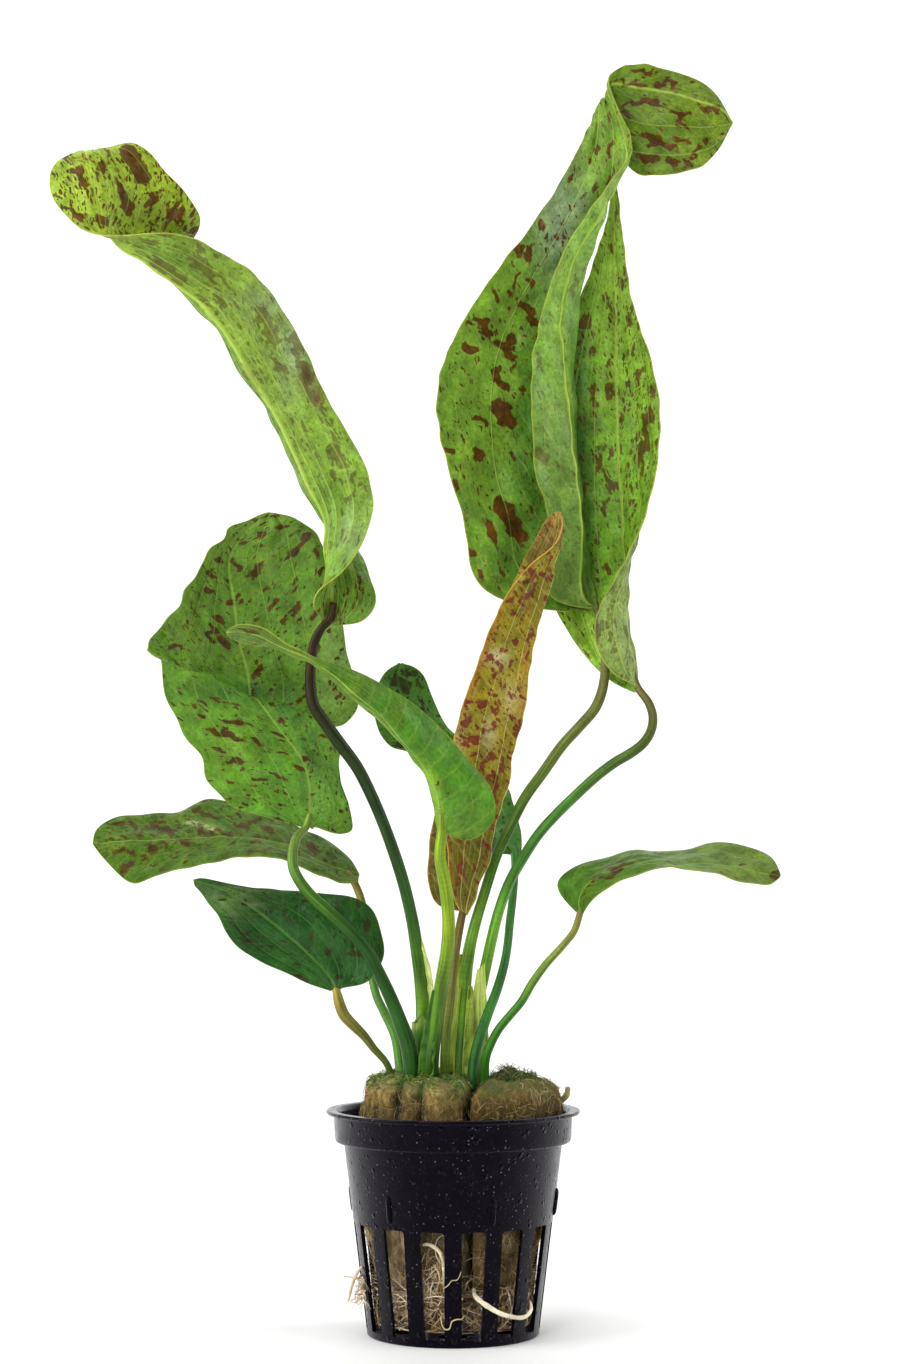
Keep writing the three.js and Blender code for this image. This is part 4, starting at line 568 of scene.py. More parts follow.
def ripple(a, b, wavelength, seed, waves=7):
    """Gentle noise of about unit height: the mean of cosines of like wavelength whose
    directions and phases are drawn from the seed."""
    draw = np.random.default_rng(seed)
    total = np.zeros(np.shape(a))
    for _ in range(waves):
        turn, phase = draw.uniform(0, 2 * math.pi, 2)
        stretch = 2 * math.pi / (wavelength * draw.uniform(0.7, 1.4))
        total = total + np.cos(stretch * (a * math.cos(turn) + b * math.sin(turn)) + phase)
    return total / math.sqrt(waves)


def softened(grid, reach):
    """Grid blurred down its rows by a bell of the given reach in rows, its ends kept."""
    width = int(3 * reach)
    run = np.concatenate([2 * grid[0] - grid[width:0:-1], grid, 2 * grid[-1] - grid[-2:-width - 2:-1]])
    weights = np.exp(-0.5 * (np.arange(-width, width + 1) / reach) ** 2)
    weights /= weights.sum()
    return sum(weight * run[k:k + len(grid)] for k, weight in enumerate(weights))


def grid_faces(index, wrap=False):
    """Quads between neighbours of a grid of point numbers, wrapped from last column to first."""
    if wrap:
        index = np.concatenate([index, index[..., :1]], axis=-1)
    corners = [index[..., :-1, :-1], index[..., :-1, 1:], index[..., 1:, 1:], index[..., 1:, :-1]]
    return np.stack(corners, axis=-1).reshape(-1, 4)


def rim_faces(index):
    """Quads round the rim of two equal grids of points, the second numbered after the first."""
    rim = np.concatenate([index[0, :-1], index[:-1, -1], index[-1, :0:-1], index[:0:-1, 0]])
    after = np.roll(rim, -1)
    return np.stack([after, after + index.size, rim + index.size, rim], axis=-1)


def closed_rings(rings, hubs):
    """Closed shell of rings of points, whose first and last ring each close in on a hub."""
    around = rings.shape[1]
    index = np.arange(len(rings) * around).reshape(-1, around)
    foot = np.stack([np.full(around, index.size), np.roll(index[0], -1), index[0]], axis=-1)
    head = np.stack([np.full(around, index.size + 1), index[-1], np.roll(index[-1], -1)], axis=-1)
    return {"points": np.concatenate([rings.reshape(-1, 3), hubs]),
            "faces": [grid_faces(index, wrap=True), foot, head]}


def tubes(paths, radii, sides, form=1.0):
    """Round tubes along many paths at once. Each ring is its centre plus radius times
    (cosine of the turn times side + sine of the turn times other), where side is carried
    along the path without twist. form scales the radius by ring and turn. Ends are capped."""
    paths = np.asarray(paths, float)
    count, steps = paths.shape[:2]
    heading = unit(np.gradient(paths, axis=1))
    least = np.argmin(np.abs(heading[:, 0]), axis=1)
    side = [unit(np.cross(heading[:, 0], np.eye(3)[least]))]
    for i in range(1, steps):
        kept = side[-1] - (side[-1] * heading[:, i]).sum(-1, keepdims=True) * heading[:, i]
        side.append(unit(kept))
    side = np.stack(side, axis=1)
    other = np.cross(heading, side)
    turn = np.arange(sides) * 2 * math.pi / sides
    radius = (np.asarray(radii, float)[..., None] * form)[..., None]
    ring = np.cos(turn)[:, None] * side[:, :, None] + np.sin(turn)[:, None] * other[:, :, None]
    points = paths[:, :, None] + radius * ring
    index = np.arange(count * steps * sides).reshape(count, steps, sides)
    fan = np.arange(1, sides - 1)
    caps = []
    for end, (first, second) in ((0, (fan + 1, fan)), (steps - 1, (fan, fan + 1))):
        rows = index[:, end]
        hub = np.repeat(rows[:, :1], len(fan), axis=1)
        caps.append(np.stack([hub, rows[:, first], rows[:, second]], axis=-1).reshape(-1, 3))
    return {"points": points.reshape(-1, 3), "faces": [grid_faces(index, wrap=True), *caps]}


def tinted(part, colours, repeat):
    """Part with one ground colour for each of its strands or rings, repeated for their points."""
    part["ground"] = np.repeat(np.reshape(colours, (-1, 3)), repeat, axis=0)
    return part


def turned(points, angles):
    """Points turned about the pot's axis, from the front towards the right."""
    x = points[..., 0] * np.cos(angles) - points[..., 1] * np.sin(angles)
    y = points[..., 0] * np.sin(angles) + points[..., 1] * np.cos(angles)
    return packed(x, y, points[..., 2])


def in_scene(name, data):
    """New object with the given data, linked to the scene."""
    made = bpy.data.objects.new(name, data)
    bpy.context.scene.collection.objects.link(made)
    return made


POINT_DATA = ("ground", "vein_space", "leaf_zone", "leaf_paint")


def make_piece(name, parts, materials, nodes=()):
    """One closed mesh object from parts, which are dicts of points in mm, arrays of faces, a
    finish number and point data. It rides on the plant and stands for the nodes it names."""
    points = np.concatenate([part["points"] for part in parts])
    starts = np.cumsum([0] + [len(part["points"]) for part in parts])
    faces = [rows + start for part, start in zip(parts, starts) for rows in part["faces"]]
    finish = [np.full(len(rows), part.get("finish", 0)) for part in parts for rows in part["faces"]]
    sizes = np.concatenate([np.full(len(rows), rows.shape[1]) for rows in faces])
    corners = np.concatenate([rows.ravel() for rows in faces])
    mesh = bpy.data.meshes.new(name)
    mesh.vertices.add(len(points))
    mesh.vertices.foreach_set("co", (points * MM).ravel())
    mesh.loops.add(len(corners))
    mesh.loops.foreach_set("vertex_index", corners.astype(np.int32))
    mesh.polygons.add(len(sizes))
    mesh.polygons.foreach_set("loop_start", (np.cumsum(sizes) - sizes).astype(np.int32))
    mesh.polygons.foreach_set("material_index", np.concatenate(finish).astype(np.int32))
    mesh.polygons.foreach_set("use_smooth", np.ones(len(sizes), bool))
    mesh.update(calc_edges=True)
    for key in POINT_DATA:
        if any(key in part for part in parts):
            values = [part.get(key, np.zeros((len(part["points"]), 3))) for part in parts]
            data = mesh.attributes.new(key, "FLOAT_VECTOR", "POINT")
            data.data.foreach_set("vector", np.concatenate(values).astype(np.float32).ravel())
    for material in materials:
        mesh.materials.append(material)
    piece = in_scene(name, mesh)
    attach(piece, "root")
    for node in nodes:
        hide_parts(node)
    return piece


# Leaves


def blade_grid(marks, lean):
    """Middle surface of a blade as a grid of points, and how far each row is along it. Every
    column of marks is a smooth curve from base to tip, read at even steps of the middle one,
    and every row is a smooth curve across them. Its last rows close in as a round tip."""
    rows = placed(marks, lean)
    place, along = even_places(rows[:, rows.shape[1] // 2], BLADE_STEP)
    columns = spline(rows, place)
    widest = np.linalg.norm(np.diff(columns, axis=1), axis=-1).sum(axis=1).max()
    cells = int(np.clip(widest / BLADE_STEP, *BLADE_CELLS)) // 2 * 2
    grid = spline(columns.swapaxes(0, 1), np.linspace(0, 1, cells + 1)).swapaxes(0, 1)
    grid = softened(grid, 1.6 / BLADE_STEP)
    centre = grid.mean(axis=1, keepdims=True)
    tip = np.linalg.norm(np.diff(grid[-1], axis=0), axis=-1).sum() * 0.7
    left = np.clip((along[-1] - along) / tip, 0.004, 1)
    close = np.sqrt(1 - (1 - left) ** 2)[:, None, None]
    return centre + (grid - centre) * close, along


def blade_part(look, marks, lean, spots, seed):
    """Closed blade of a leaf. Both faces lie half a thickness off the middle surface. The
    blade swells between its veins and ripples gently, the midrib and veins stand out as bells
    under it and are grooves on top, and its margin waves. Point data hold, for the finish,
    places along the slanting side veins, the vein number, the distance from the margin, and
    the depth inside the nearest spot. Pairs in the look are for the left and the right half."""
    grid, along = blade_grid(marks, lean)
    rows, columns = grid.shape[:2]
    v = np.broadcast_to(np.linspace(0, 1, columns), (rows, columns))
    t = np.broadcast_to(along[:, None], (rows, columns))
    lengths = np.linalg.norm(np.diff(grid, axis=1), axis=-1)
    reach = np.concatenate([np.zeros((rows, 1)), np.cumsum(lengths, axis=1)], axis=1)
    veins = look.get("veins", EVEN_VEINS)
    vein = np.interp(v, veins, np.arange(len(veins)) - (len(veins) - 1) / 2)
    middle = np.array([np.interp(0.0, vein[0], line) for line in reach])[:, None]
    s = reach - middle
    gap = np.gradient(reach, axis=1) / np.gradient(vein, axis=1)
    off_vein = np.abs(vein - np.round(vein)) * gap
    edge = np.minimum(np.minimum(reach, reach[:, -1:] - reach), (along[-1] - t) * 1.2)
    normal = unit(np.cross(np.gradient(grid, axis=0), np.gradient(grid, axis=1)))
    up = look.get("upper_side", -1)
    share = look.get("vein_share", 1)

    full = smooth_step(0.0, 3.0, edge)
    far = t / along[-1]
    off_base = smooth_step(0, 0.15, far)
    margin = np.sign(s) * 40
    swell = 0.16 * share * np.cos(2 * math.pi * (vein - 0.5)) * full * np.clip(gap / 3, 0, 1)
    sway = 0.34 * ripple(s, t, 15, seed) + 0.17 * ripple(s, t, 6, seed + 1)
    wave = 0.22 * ripple(margin, t, 8, seed + 2) * np.exp(-edge / 2.2)
    moved = grid + normal * (up * swell + sway * full + wave * off_base)[..., None]
    frill = look.get("frill", 0.1) * ripple(margin + 9, t, 6.5, seed + 3) * np.exp(-edge / 1.2)
    moved = moved + unit(np.gradient(grid, axis=1)) * (frill * off_base)[..., None]

    thin, thick = HALF_THICKNESS
    half = thin + (thick - thin) * smooth_step(0, 1.5, edge)
    rib = np.exp(-(s / (0.95 - 0.6 * far)) ** 2)
    side_vein = share * np.exp(-(off_vein / 0.34) ** 2) * full * (1 - rib)
    under = half + (0.75 - 0.55 * far) * rib + 0.11 * side_vein
    over = half - (0.2 - 0.1 * far) * rib - 0.07 * side_vein
    faces = {up: over, -up: under}

    turn = np.radians(np.where(s < 0, *look["slant"]))
    slant = np.cos(turn) * t + np.sin(turn) * np.abs(s) + 60 * (s < 0)
    cross = np.sin(turn) * t - np.cos(turn) * np.abs(s)
    speck = np.where(s < 0, *look["specks"])
    speck = np.maximum(speck, look.get("tip_specks", 0) * smooth_step(0.74, 0.8, far))
    both = {key: [] for key in ("points", *POINT_DATA)}
    for sign in (1, -1):
        face = moved + normal * (sign * faces[sign])[..., None]
        below = np.full(t.shape, float(sign != up))
        if "bold_tip" in look:
            below = below * (1 - smooth_step(*look["bold_tip"], far))
        across, height = on_sheet(face)
        patch = spot_depth(spots, across, height, v, seed)
        faded = np.maximum(below, look.get("spot_fade", 0))
        ground = leaf_ground(look, below, across, height, v, far, s, t, seed)
        layers = (face, ground, packed(slant, cross, vein), packed(edge, gap / share, 0),
                  packed(faded, patch, speck))
        for key, layer in zip(both, layers):
            both[key].append(layer.reshape(-1, 3))
    part = {key: np.concatenate(layers) for key, layers in both.items()}
    index = np.arange(rows * columns).reshape(rows, columns)
    front = grid_faces(index)[:, [0, 3, 2, 1]]
    part["faces"] = [front, front[:, ::-1] + index.size, rim_faces(index)]
    return part


def leaf_ground(look, below, across, height, v, far, s, t, seed):
    """Ground colour of one face of a blade: a gradient from base to tip, soft random clouds of
    lighter and darker colour, and soft patches where it is brighter, darker or yellower: some are
    the leaf's own colour, others are painted shade, painted sheen and painted light."""
    upper, under = gradient(look["upper"].split(), far), gradient(look["under"].split(), far)
    colour = upper + (under - upper) * below[..., None]
    cloud = 1 + 0.09 * ripple(s, t, 11, seed + 5) + 0.06 * ripple(s, t, 4, seed + 6)
    colour = colour * cloud[..., None]
    # Patches: some are the leaf's own colour; others are painted shade, painted sheen and painted light,
    # noted at each leaf.
    for x, z, wide, high, code, strength, *span in look.get("tone_and_light_patches", []):
        low, top = span or (0, 1)
        inside = np.exp(-((across - x) / wide) ** 2 - ((height - z) / high) ** 2)
        inside *= smooth_step(low - 0.08, low + 0.02, v) * (1 - smooth_step(top - 0.02, top + 0.08, v))
        colour = colour + (linear(code) - colour) * (strength * inside)[..., None]
    return np.clip(colour, 0, 1)


def spot_depth(spots, across, height, v, seed):
    """How deep a place lies inside the nearest spot, in mm, negative outside. A spot is a
    slanting rounded form [across, up, length, width, turn]: the shares of its half length and
    half width that a place has used up are summed to the power 2.6. Low waves bend all forms
    a little. The halves are drawn 1.12 times as long, for the ragged rim that the finish adds."""
    depth = np.full(across.shape, -3.0)
    across = across + 0.45 * ripple(across, height, 3.4, seed + 8)
    height = height + 0.45 * ripple(across, height, 3.4, seed + 9)
    for low, high, group in spots:
        inside = (v >= low - 0.01) & (v <= high + 0.01)
        for x, z, length, width, turn in group:
            c, d = math.cos(math.radians(turn)), math.sin(math.radians(turn))
            lengthways = np.abs((across - x) * c + (height - z) * d) / (length * 0.56)
            sideways = np.abs((height - z) * c - (across - x) * d) / (width * 0.56)
            used = (lengthways**2.6 + sideways**2.6) ** (1 / 2.6)
            depth = np.where(inside, np.maximum(depth, (1 - used) * width * 0.56), depth)
    return np.maximum(depth, -3.0)


def stalk_part(marks, lean, shades, seed):
    """Closed stalk along a smooth curve through its marks, its radius taken from their widths.
    Low ridges run along it, its colour changes with height, and a painted highlight runs down the
    side that faces front, left and up."""
    marks = np.asarray(marks, float)
    centres = placed(marks[:, :3], lean)
    place, along = even_places(centres, STALK_STEP)
    path = spline(centres, place)
    radius = np.interp(place, np.linspace(0, 1, len(marks)), marks[:, 3]) / 2
    radius = softened(radius[:, None], 3)[:, 0]
    turn = np.arange(STALK_SIDES) * 2 * math.pi / STALK_SIDES
    form = 1 + 0.035 * np.cos(3 * turn + seed) + 0.02 * np.cos(7 * turn + 2 * seed)
    part = tubes(path[None], radius[None], STALK_SIDES, form[None, None])
    tinted(part, gradient(shades.values(), path[:, 2], list(shades)), STALK_SIDES)
    # Painted highlight: the side facing front, left and up is lightened by up to half, and the whole stalk
    # is dimmed to 0.88 of its colour.
    outward = unit(part["points"].reshape(len(path), STALK_SIDES, 3) - path[:, None])
    pale = smooth_step(0.72, 0.98, outward @ unit(np.array([-0.45, -1.0, 0.3])))
    part["ground"] *= 0.88 + 0.5 * pale.reshape(-1, 1)
    part["vein_space"] = packed(turn * radius.mean(), along[:, None], 0).reshape(-1, 3)
    part["finish"] = 1
    return part


def sheath_part(marks, lean, shade, seed):
    """Thin pale membrane at a stalk: a grid between two curves of marks, which bulges by the
    sine of the place across it and ripples a little."""
    edges = spline(placed(marks, lean), np.linspace(0, 1, SHEATH_GRID[0]))
    v = np.broadcast_to(np.linspace(0, 1, SHEATH_GRID[1]), SHEATH_GRID)
    grid = edges[:, :1] + (edges[:, 1:] - edges[:, :1]) * v[..., None]
    length = np.broadcast_to(run_length(grid[:, SHEATH_GRID[1] // 2])[:, None], SHEATH_GRID)
    normal = unit(np.cross(np.gradient(grid, axis=0), np.gradient(grid, axis=1)))
    bulge = 0.5 * np.sin(math.pi * v) + 0.15 * ripple(v * 4, length, 3, seed)
    grid = grid + normal * bulge[..., None]
    off = normal * SHEATH_HALF
    index = np.arange(v.size).reshape(SHEATH_GRID)
    front = grid_faces(index)[:, ::-1]
    space = packed(v * 2, length, 0).reshape(-1, 3)
    part = {
        "points": np.stack([grid + off, grid - off]).reshape(-1, 3),
        "faces": [front, front[:, ::-1] + index.size, rim_faces(index)],
        "vein_space": np.concatenate([space, space]),
        "finish": 1,
    }
    return tinted(part, linear(shade), 2 * v.size)


# Pot


def slot_half(height):
    """Half the width of a pot slot at a height: it widens evenly from foot to head, and its
    upper corners are quarter rounds."""
    rise = np.clip((height - POT.slot_foot) / (POT.slot_head - POT.slot_foot), 0, 1)
    half = (POT.slot_foot_width + (POT.slot_head_width - POT.slot_foot_width) * rise) / 2
    over = np.clip((height - POT.slot_head + POT.slot_corner) / POT.slot_corner, 0, 1)
    return half - POT.slot_corner * (1 - np.sqrt(1 - over**2))


def rounded(corners, radius, cells=4):
    """Profile whose corners are replaced by curves of about the given radius, each a parabola
    from the line before the corner to the line after it."""
    corners = np.asarray(corners, float)
    out = [corners[:1]]
    t = np.linspace(0, 1, cells + 1)[:, None]
    for before, corner, after in zip(corners[:-2], corners[1:-1], corners[2:]):
        into, away = before - corner, after - corner
        start = corner + into * min(radius / np.linalg.norm(into), 0.45)
        end = corner + away * min(radius / np.linalg.norm(away), 0.45)
        out.append((1 - t) ** 2 * start + 2 * t * (1 - t) * corner + t**2 * end)
    out.append(corners[-1:])
    return np.concatenate(out)


def wall_radius(height):
    """Outer radius of the pot's wall, which widens evenly from its foot to its collar."""
    return POT.base_radius + (POT.wall_top_radius - POT.base_radius) / POT.collar_foot * height


def pot_part():
    """Closed shell of the pot: a profile of [radius, height] carried round the axis, up the
    outside, over the rim, down the inside and across the floor. Its columns lean so that they
    follow the edges of the slots. The cells of a slot are left out of both walls, and the
    edges round it are joined from wall to wall."""
    wall, collar, foot, top = POT.wall, POT.collar_radius, POT.collar_foot, POT.height
    under_rim = top - POT.rim_thickness
    turn = np.sin(np.linspace(0, math.pi / 2, 15))
    slot_rows = POT.slot_foot + (POT.slot_head - POT.slot_foot) * turn
    lower = [[15.5, POT.floor_recess], [17.0, 0.0], [POT.base_radius, 0.0], [wall_radius(1.6), 1.6]]
    lower = rounded(lower, 0.45)
    outer = packed(wall_radius(slot_rows), slot_rows)
    upper = rounded([
        [wall_radius(POT.slot_head + 0.4), POT.slot_head + 0.4], [wall_radius(33), 33],
        [POT.wall_top_radius, foot], [collar - 0.25, foot], [collar - 0.05, foot + 0.8],
        [collar + 0.2, under_rim], [POT.rim_radius, under_rim + 0.05], [POT.rim_radius, top],
        [collar - 0.3, top], [collar - wall - 0.05, top - 0.9], [collar - wall - 0.3, foot + 1.2],
        [wall_radius(foot) - wall, foot + 0.2], [wall_radius(30) - wall, 30],
    ], 0.4)
    inner = outer[::-1] - [wall, 0]
    floor = [[16.5, POT.floor + 0.02]] + [[reach, POT.floor] for reach in FLOOR_RINGS]
    floor += [[reach, POT.floor_recess] for reach in FLOOR_RINGS[::-1]]
    profile = np.concatenate([lower[1:], outer, upper, inner, floor])
    radius, height = profile.T

    half = np.arcsin(np.clip(slot_half(height) / np.maximum(radius, 12), 0, 1))[:, None]
    pitch = 2 * math.pi / POT.slots
    in_slot = np.linspace(-1, 1, SLOT_CELLS + 1)[:-1] * half
    in_bar = half + np.linspace(0, 1, BAR_CELLS + 1)[:-1] * (pitch - 2 * half)
    one = np.concatenate([in_slot, in_bar], axis=1)
    places = (np.arange(POT.slots) + 0.5) * pitch
    angles = (places[None, :, None] + one[:, None, :]).reshape(len(profile), -1)
    points = turned(packed(0, -radius, height)[:, None], angles)

    index = np.arange(angles.size).reshape(angles.shape)
    quads = grid_faces(np.concatenate([index, index[:1]]), wrap=True).reshape(*angles.shape, 4)
    kept = np.ones(angles.shape, bool)
    open_cell = np.arange(angles.shape[1]) % (SLOT_CELLS + BAR_CELLS) < SLOT_CELLS
    outside = len(lower) - 1
    inside = outside + len(outer) + len(upper)
    for first in (outside, inside):
        kept[first:first + len(outer) - 1, open_cell] = False
    faces = [quads[kept]]

    out_rows = index[outside:outside + len(outer)]
    in_rows = index[inside:inside + len(outer)][::-1]
    left = np.arange(POT.slots) * (SLOT_CELLS + BAR_CELLS)
    for column, flip in ((left, False), (left + SLOT_CELLS, True)):
        jamb = np.stack([out_rows[:-1, column], in_rows[:-1, column], in_rows[1:, column],
                         out_rows[1:, column]], axis=-1).reshape(-1, 4)
        faces.append(jamb[:, ::-1] if flip else jamb)
    cells = (left[:, None] + np.arange(SLOT_CELLS)).ravel()
    for row, flip in ((0, False), (-1, True)):
        sill = np.stack([out_rows[row, cells], out_rows[row, cells + 1], in_rows[row, cells + 1],
                         in_rows[row, cells]], axis=-1)
        faces.append(sill[:, ::-1] if flip else sill)
    return {"points": points.reshape(-1, 3), "faces": faces}


def pot_ribs():
    """Six short upright ribs, half sunk in the wall: rods that follow the wall's slope and
    taper away at both ends."""
    t = np.linspace(0, 1, 13)
    height = POT.rib_foot + (POT.rib_head - POT.rib_foot) * t
    angles = ((np.arange(POT.ribs) + POT.rib_place) * 2 * math.pi / POT.ribs)[:, None]
    paths = turned(packed(0, -wall_radius(height) - 0.1, height)[None], angles)
    width = POT.rib_half * np.sqrt(np.clip(1 - np.abs(2 * t - 1) ** 6, 0.02, 1))
    return tubes(paths, np.broadcast_to(width, paths.shape[:2]), 10)


# Mineral wool


def turn_from(turn, degrees):
    """How far turns are from a direction in degrees, from minus half a turn to half a turn."""
    return (turn - math.radians(degrees) + math.pi) % (2 * math.pi) - math.pi


def wool_part(name, seed):
    """Closed block of wool, star-shaped about a line inside it. On each level the radius is
    the soft lesser of the round outline and the flat cut between the blocks (both to the
    power -14, summed). Pleats and lumps are added, the shoulder is a quarter round, and the
    top and foot close to a point. Its colour goes with height, with painted light on the
    shoulder and low down, and is darkened by painted shade in the folds and in the hollows
    behind the slots."""
    block = WOOL_BLOCKS[name]
    rings, core = np.array(block["rings"], float), np.array(block["core"], float)
    rise, draw_in = block["shoulder"]
    top = rings[-1, 0]
    side = np.linspace(rings[0, 0], top, 74)
    arc = np.linspace(0, math.pi / 2, 14)[1:]
    level = np.concatenate([side, top + rise * np.sin(arc)])
    inset = np.concatenate([0 * side, draw_in * (1 - np.cos(arc))])
    centre = np.interp(level, rings[:, 0], rings[:, 1])
    radius = np.interp(level, rings[:, 0], rings[:, 2]) - inset
    turn = np.arange(WOOL_SIDES) * 2 * math.pi / WOOL_SIDES
    ray = np.stack([np.cos(turn), np.sin(turn)])
    offset = packed(core[0] - centre, core[1])
    along = offset @ ray
    spare = (radius**2 - (offset**2).sum(axis=1))[:, None]
    round_reach = -along + np.sqrt(np.maximum(along**2 + spare, 0.01))
    facing = block["side"] * np.array([math.cos(WOOL_SPLIT_TURN), math.sin(WOOL_SPLIT_TURN)])
    room = facing @ (np.array([WOOL_SPLIT_X, 0.0]) - core) - 0.3
    cut_reach = np.maximum(room - 0.6 * inset[:, None], 1.5) / np.maximum(facing @ ray, 1e-3)
    reach = (round_reach**-14 + cut_reach**-14) ** (-1 / 14)

    around = turn[None] * WOOL_RADIUS
    level = level[:, None]
    lumps = 0.45 * ripple(around, level, 8, seed) + 0.2 * ripple(around, level, 3, seed + 1)
    grain = 0.1 * ripple(around, level * 0.5, 1.1, seed + 2, 12)
    pleats = -sum(depth * np.exp(-np.abs(turn_from(turn, place) * WOOL_RADIUS / wide) ** 1.3)
                  for place, depth, wide in block["pleats"])
    pleats = pleats * (0.35 + 0.65 * smooth_step(38, 46, level))
    # Painted shade: the deeper a place lies in a pleat or between lumps, the darker it is painted.
    fold_shade = np.clip(-(pleats + lumps) / 1.7, 0, 1) ** 1.2
    reach = reach + (lumps + grain - 0.35) + pleats
    shrink = np.concatenate([np.linspace(0.15, 0.98, WOOL_FOOT_ROWS), np.ones(len(level)),
                             np.linspace(0.94, 0.02, WOOL_TOP_ROWS)])[:, None]
    level, reach, fold_shade = (np.pad(grid, ((WOOL_FOOT_ROWS, WOOL_TOP_ROWS), (0, 0)), mode="edge")
                          for grid in (level, reach, fold_shade))
    level[:WOOL_FOOT_ROWS] -= 0.15
    x, y = core[0] + reach * shrink * ray[0], core[1] + reach * shrink * ray[1]
    mound = 0.35 * ripple(x, y, 6, seed + 3) + 0.22 * ripple(x, y, 2.2, seed + 4)
    mound += 0.1 * ripple(x, y, 0.9, seed + 5)
    z = level + smooth_step(top, level[-1], level) * (mound - 0.3 + 0.5 * (1 - shrink))
    points = packed(x, y, z)
    part = closed_rings(points, [[*core, level[0, 0] - 0.15], [*core, z[-1].mean()]])
    normal = unit(np.cross(np.gradient(points, axis=1), np.gradient(points, axis=0)))

    # Colour by height: the lighter shoulder and lighter low band are painted light; the last colour is the
    # painted shade of the folds.
    *open_shades, deep = block["shades"].split()
    deep = linear(deep)
    pale = gradient(open_shades, z, WOOL_SHADE_HEIGHTS)
    shade = pale + (deep - pale) * fold_shade[..., None]
    # Painted shade in the hollows behind the slots, low down.
    for place, wide in block["hollows"]:
        away = turn_from(turn, place) / math.radians(wide)
        hollow_shade = 0.8 * np.exp(-away**4) * smooth_step(8, 14, z) * (1 - smooth_step(24, 30, z))
        shade = shade * (1 - hollow_shade[..., None])
    streak = 1 + 0.22 * ripple(around, level * 0.2, 1.6, seed + 8, 12)
    part["ground"] = np.concatenate([(shade * streak[..., None]).reshape(-1, 3), np.tile(deep, (2, 1))])
    return part, points, normal


def fibres(points, normal, count, zone, look, seed):
    """Fine strands on a surface. Each starts at a random grid place inside zone, runs along a
    random slant of the surface, curls, and stands off it in a low arc."""
    draw = np.random.default_rng(seed)
    allowed = np.argwhere(zone)
    start = allowed[draw.integers(0, len(allowed), count)]
    base, out = points[start[:, 0], start[:, 1]], normal[start[:, 0], start[:, 1]]
    flat = unit(np.cross(out, draw.normal(size=(count, 3))))
    bend = np.cross(out, flat)
    t = np.linspace(0, 1, look["steps"])[None, :, None]
    length = draw.uniform(*look["length"], count)[:, None, None]
    lift = draw.uniform(*look["lift"], count)[:, None, None]
    curl = draw.normal(0, look["curl"], (2, count))[..., None, None]
    phase = draw.uniform(0, 6.3, count)[:, None, None]
    lying = look["lying"]
    path = (base[:, None] + flat[:, None] * length * (t - 0.5 * lying)
            + bend[:, None] * (curl[0] * np.sin(3 * t + phase) * length + curl[1] * t * t * length)
            + out[:, None] * (lift * (lying * np.sin(math.pi * t) + (1 - lying) * t) - 0.08))
    taper = 1 - 0.75 * np.abs(2 * t[..., 0] - lying) ** 2 / (2 - lying) ** 2
    part = tubes(path, draw.uniform(*look["radius"], count)[:, None] * taper, 3)
    tinted(part, drawn_colours(draw, look["shades"], count, 1.2), look["steps"] * 3)
    part["finish"] = look["finish"]
    return part


# Roots


def wandering_roots(starts, headings, steps, seed, look):
    """Roots that wander from their starts: each heading is the last one plus a random turn and
    a pull downwards. Caged ones are held between the wool and the pot's wall, whose radii grow
    with height, and turn back at the floor and at a ceiling. Each tapers to its tip."""
    draw = np.random.default_rng(seed)
    count = len(starts)
    spot, heading = starts.copy(), unit(headings)
    swing = draw.normal(0, 1, (count, 3))
    stride = draw.uniform(*look["length"], count)[:, None] / steps
    rings = np.array(WOOL_BLOCKS["wool_left"]["rings"])
    path = [spot.copy()]
    for _ in range(steps - 1):
        swing = 0.75 * swing + 0.6 * draw.normal(0, 1, (count, 3))
        heading = unit(heading + look["wander"] * swing + np.array([0, 0, -look["fall"]]))
        spot = spot + heading * stride
        if look["caged"]:
            away = np.linalg.norm(spot[:, :2], axis=1)
            wool = np.where(spot[:, 2] > 10.6, np.interp(spot[:, 2], rings[:, 0], rings[:, 2]) + 0.2, 0)
            wall = 17.2 + 0.12 * spot[:, 2]
            spot[:, :2] *= (np.clip(away, np.minimum(wool, wall), wall) / np.maximum(away, 1e-6))[:, None]
            spot[:, 2] = look["ceiling"] - np.abs(look["ceiling"] - spot[:, 2])
            spot[:, 2] = CAGE_FLOOR + np.abs(spot[:, 2] - CAGE_FLOOR)
        path.append(spot.copy())
    path = softened(np.stack(path), 1.2).swapaxes(0, 1)
    thick = draw.uniform(*look["radius"], count)[:, None] * np.linspace(1, 0.35, steps)[None]
    part = tubes(path, thick, look["sides"])
    return tinted(part, drawn_colours(draw, look["shades"], count, 1.15), steps * look["sides"])


def scattered(count, low, high, seed):
    """Random places in a box of [turn in degrees, radius, height] round the pot's axis, and
    the outward direction at each."""
    turn, radius, height = np.random.default_rng(seed).uniform(low, high, (count, 3)).T
    turn = np.radians(turn)
    out = packed(np.sin(turn), -np.cos(turn), 0)
    return out * radius[:, None] + np.array([0, 0, 1.0]) * height[:, None], out


def root_part(marks, shade, seed, sides=14):
    """One thick root: a round rod along a smooth curve through its marks, with slow swellings
    and narrowings along it."""
    marks = np.asarray(marks, float)
    centres = placed(marks[:, :3])
    place, length = even_places(centres, ROOT_STEP, least=12)
    radius = np.interp(place, np.linspace(0, 1, len(marks)), marks[:, 3]) / 2
    radius = radius * (1 + 0.07 * ripple(length, 0 * length, 2.4, seed))
    radius[0] *= 0.5
    radius[-1] *= 0.4
    part = tubes(spline(centres, place)[None], radius[None], sides)
    mottled = 1 + 0.1 * ripple(length, 0 * length, 3, seed + 1)
    return tinted(part, linear(shade) * mottled[:, None], sides)


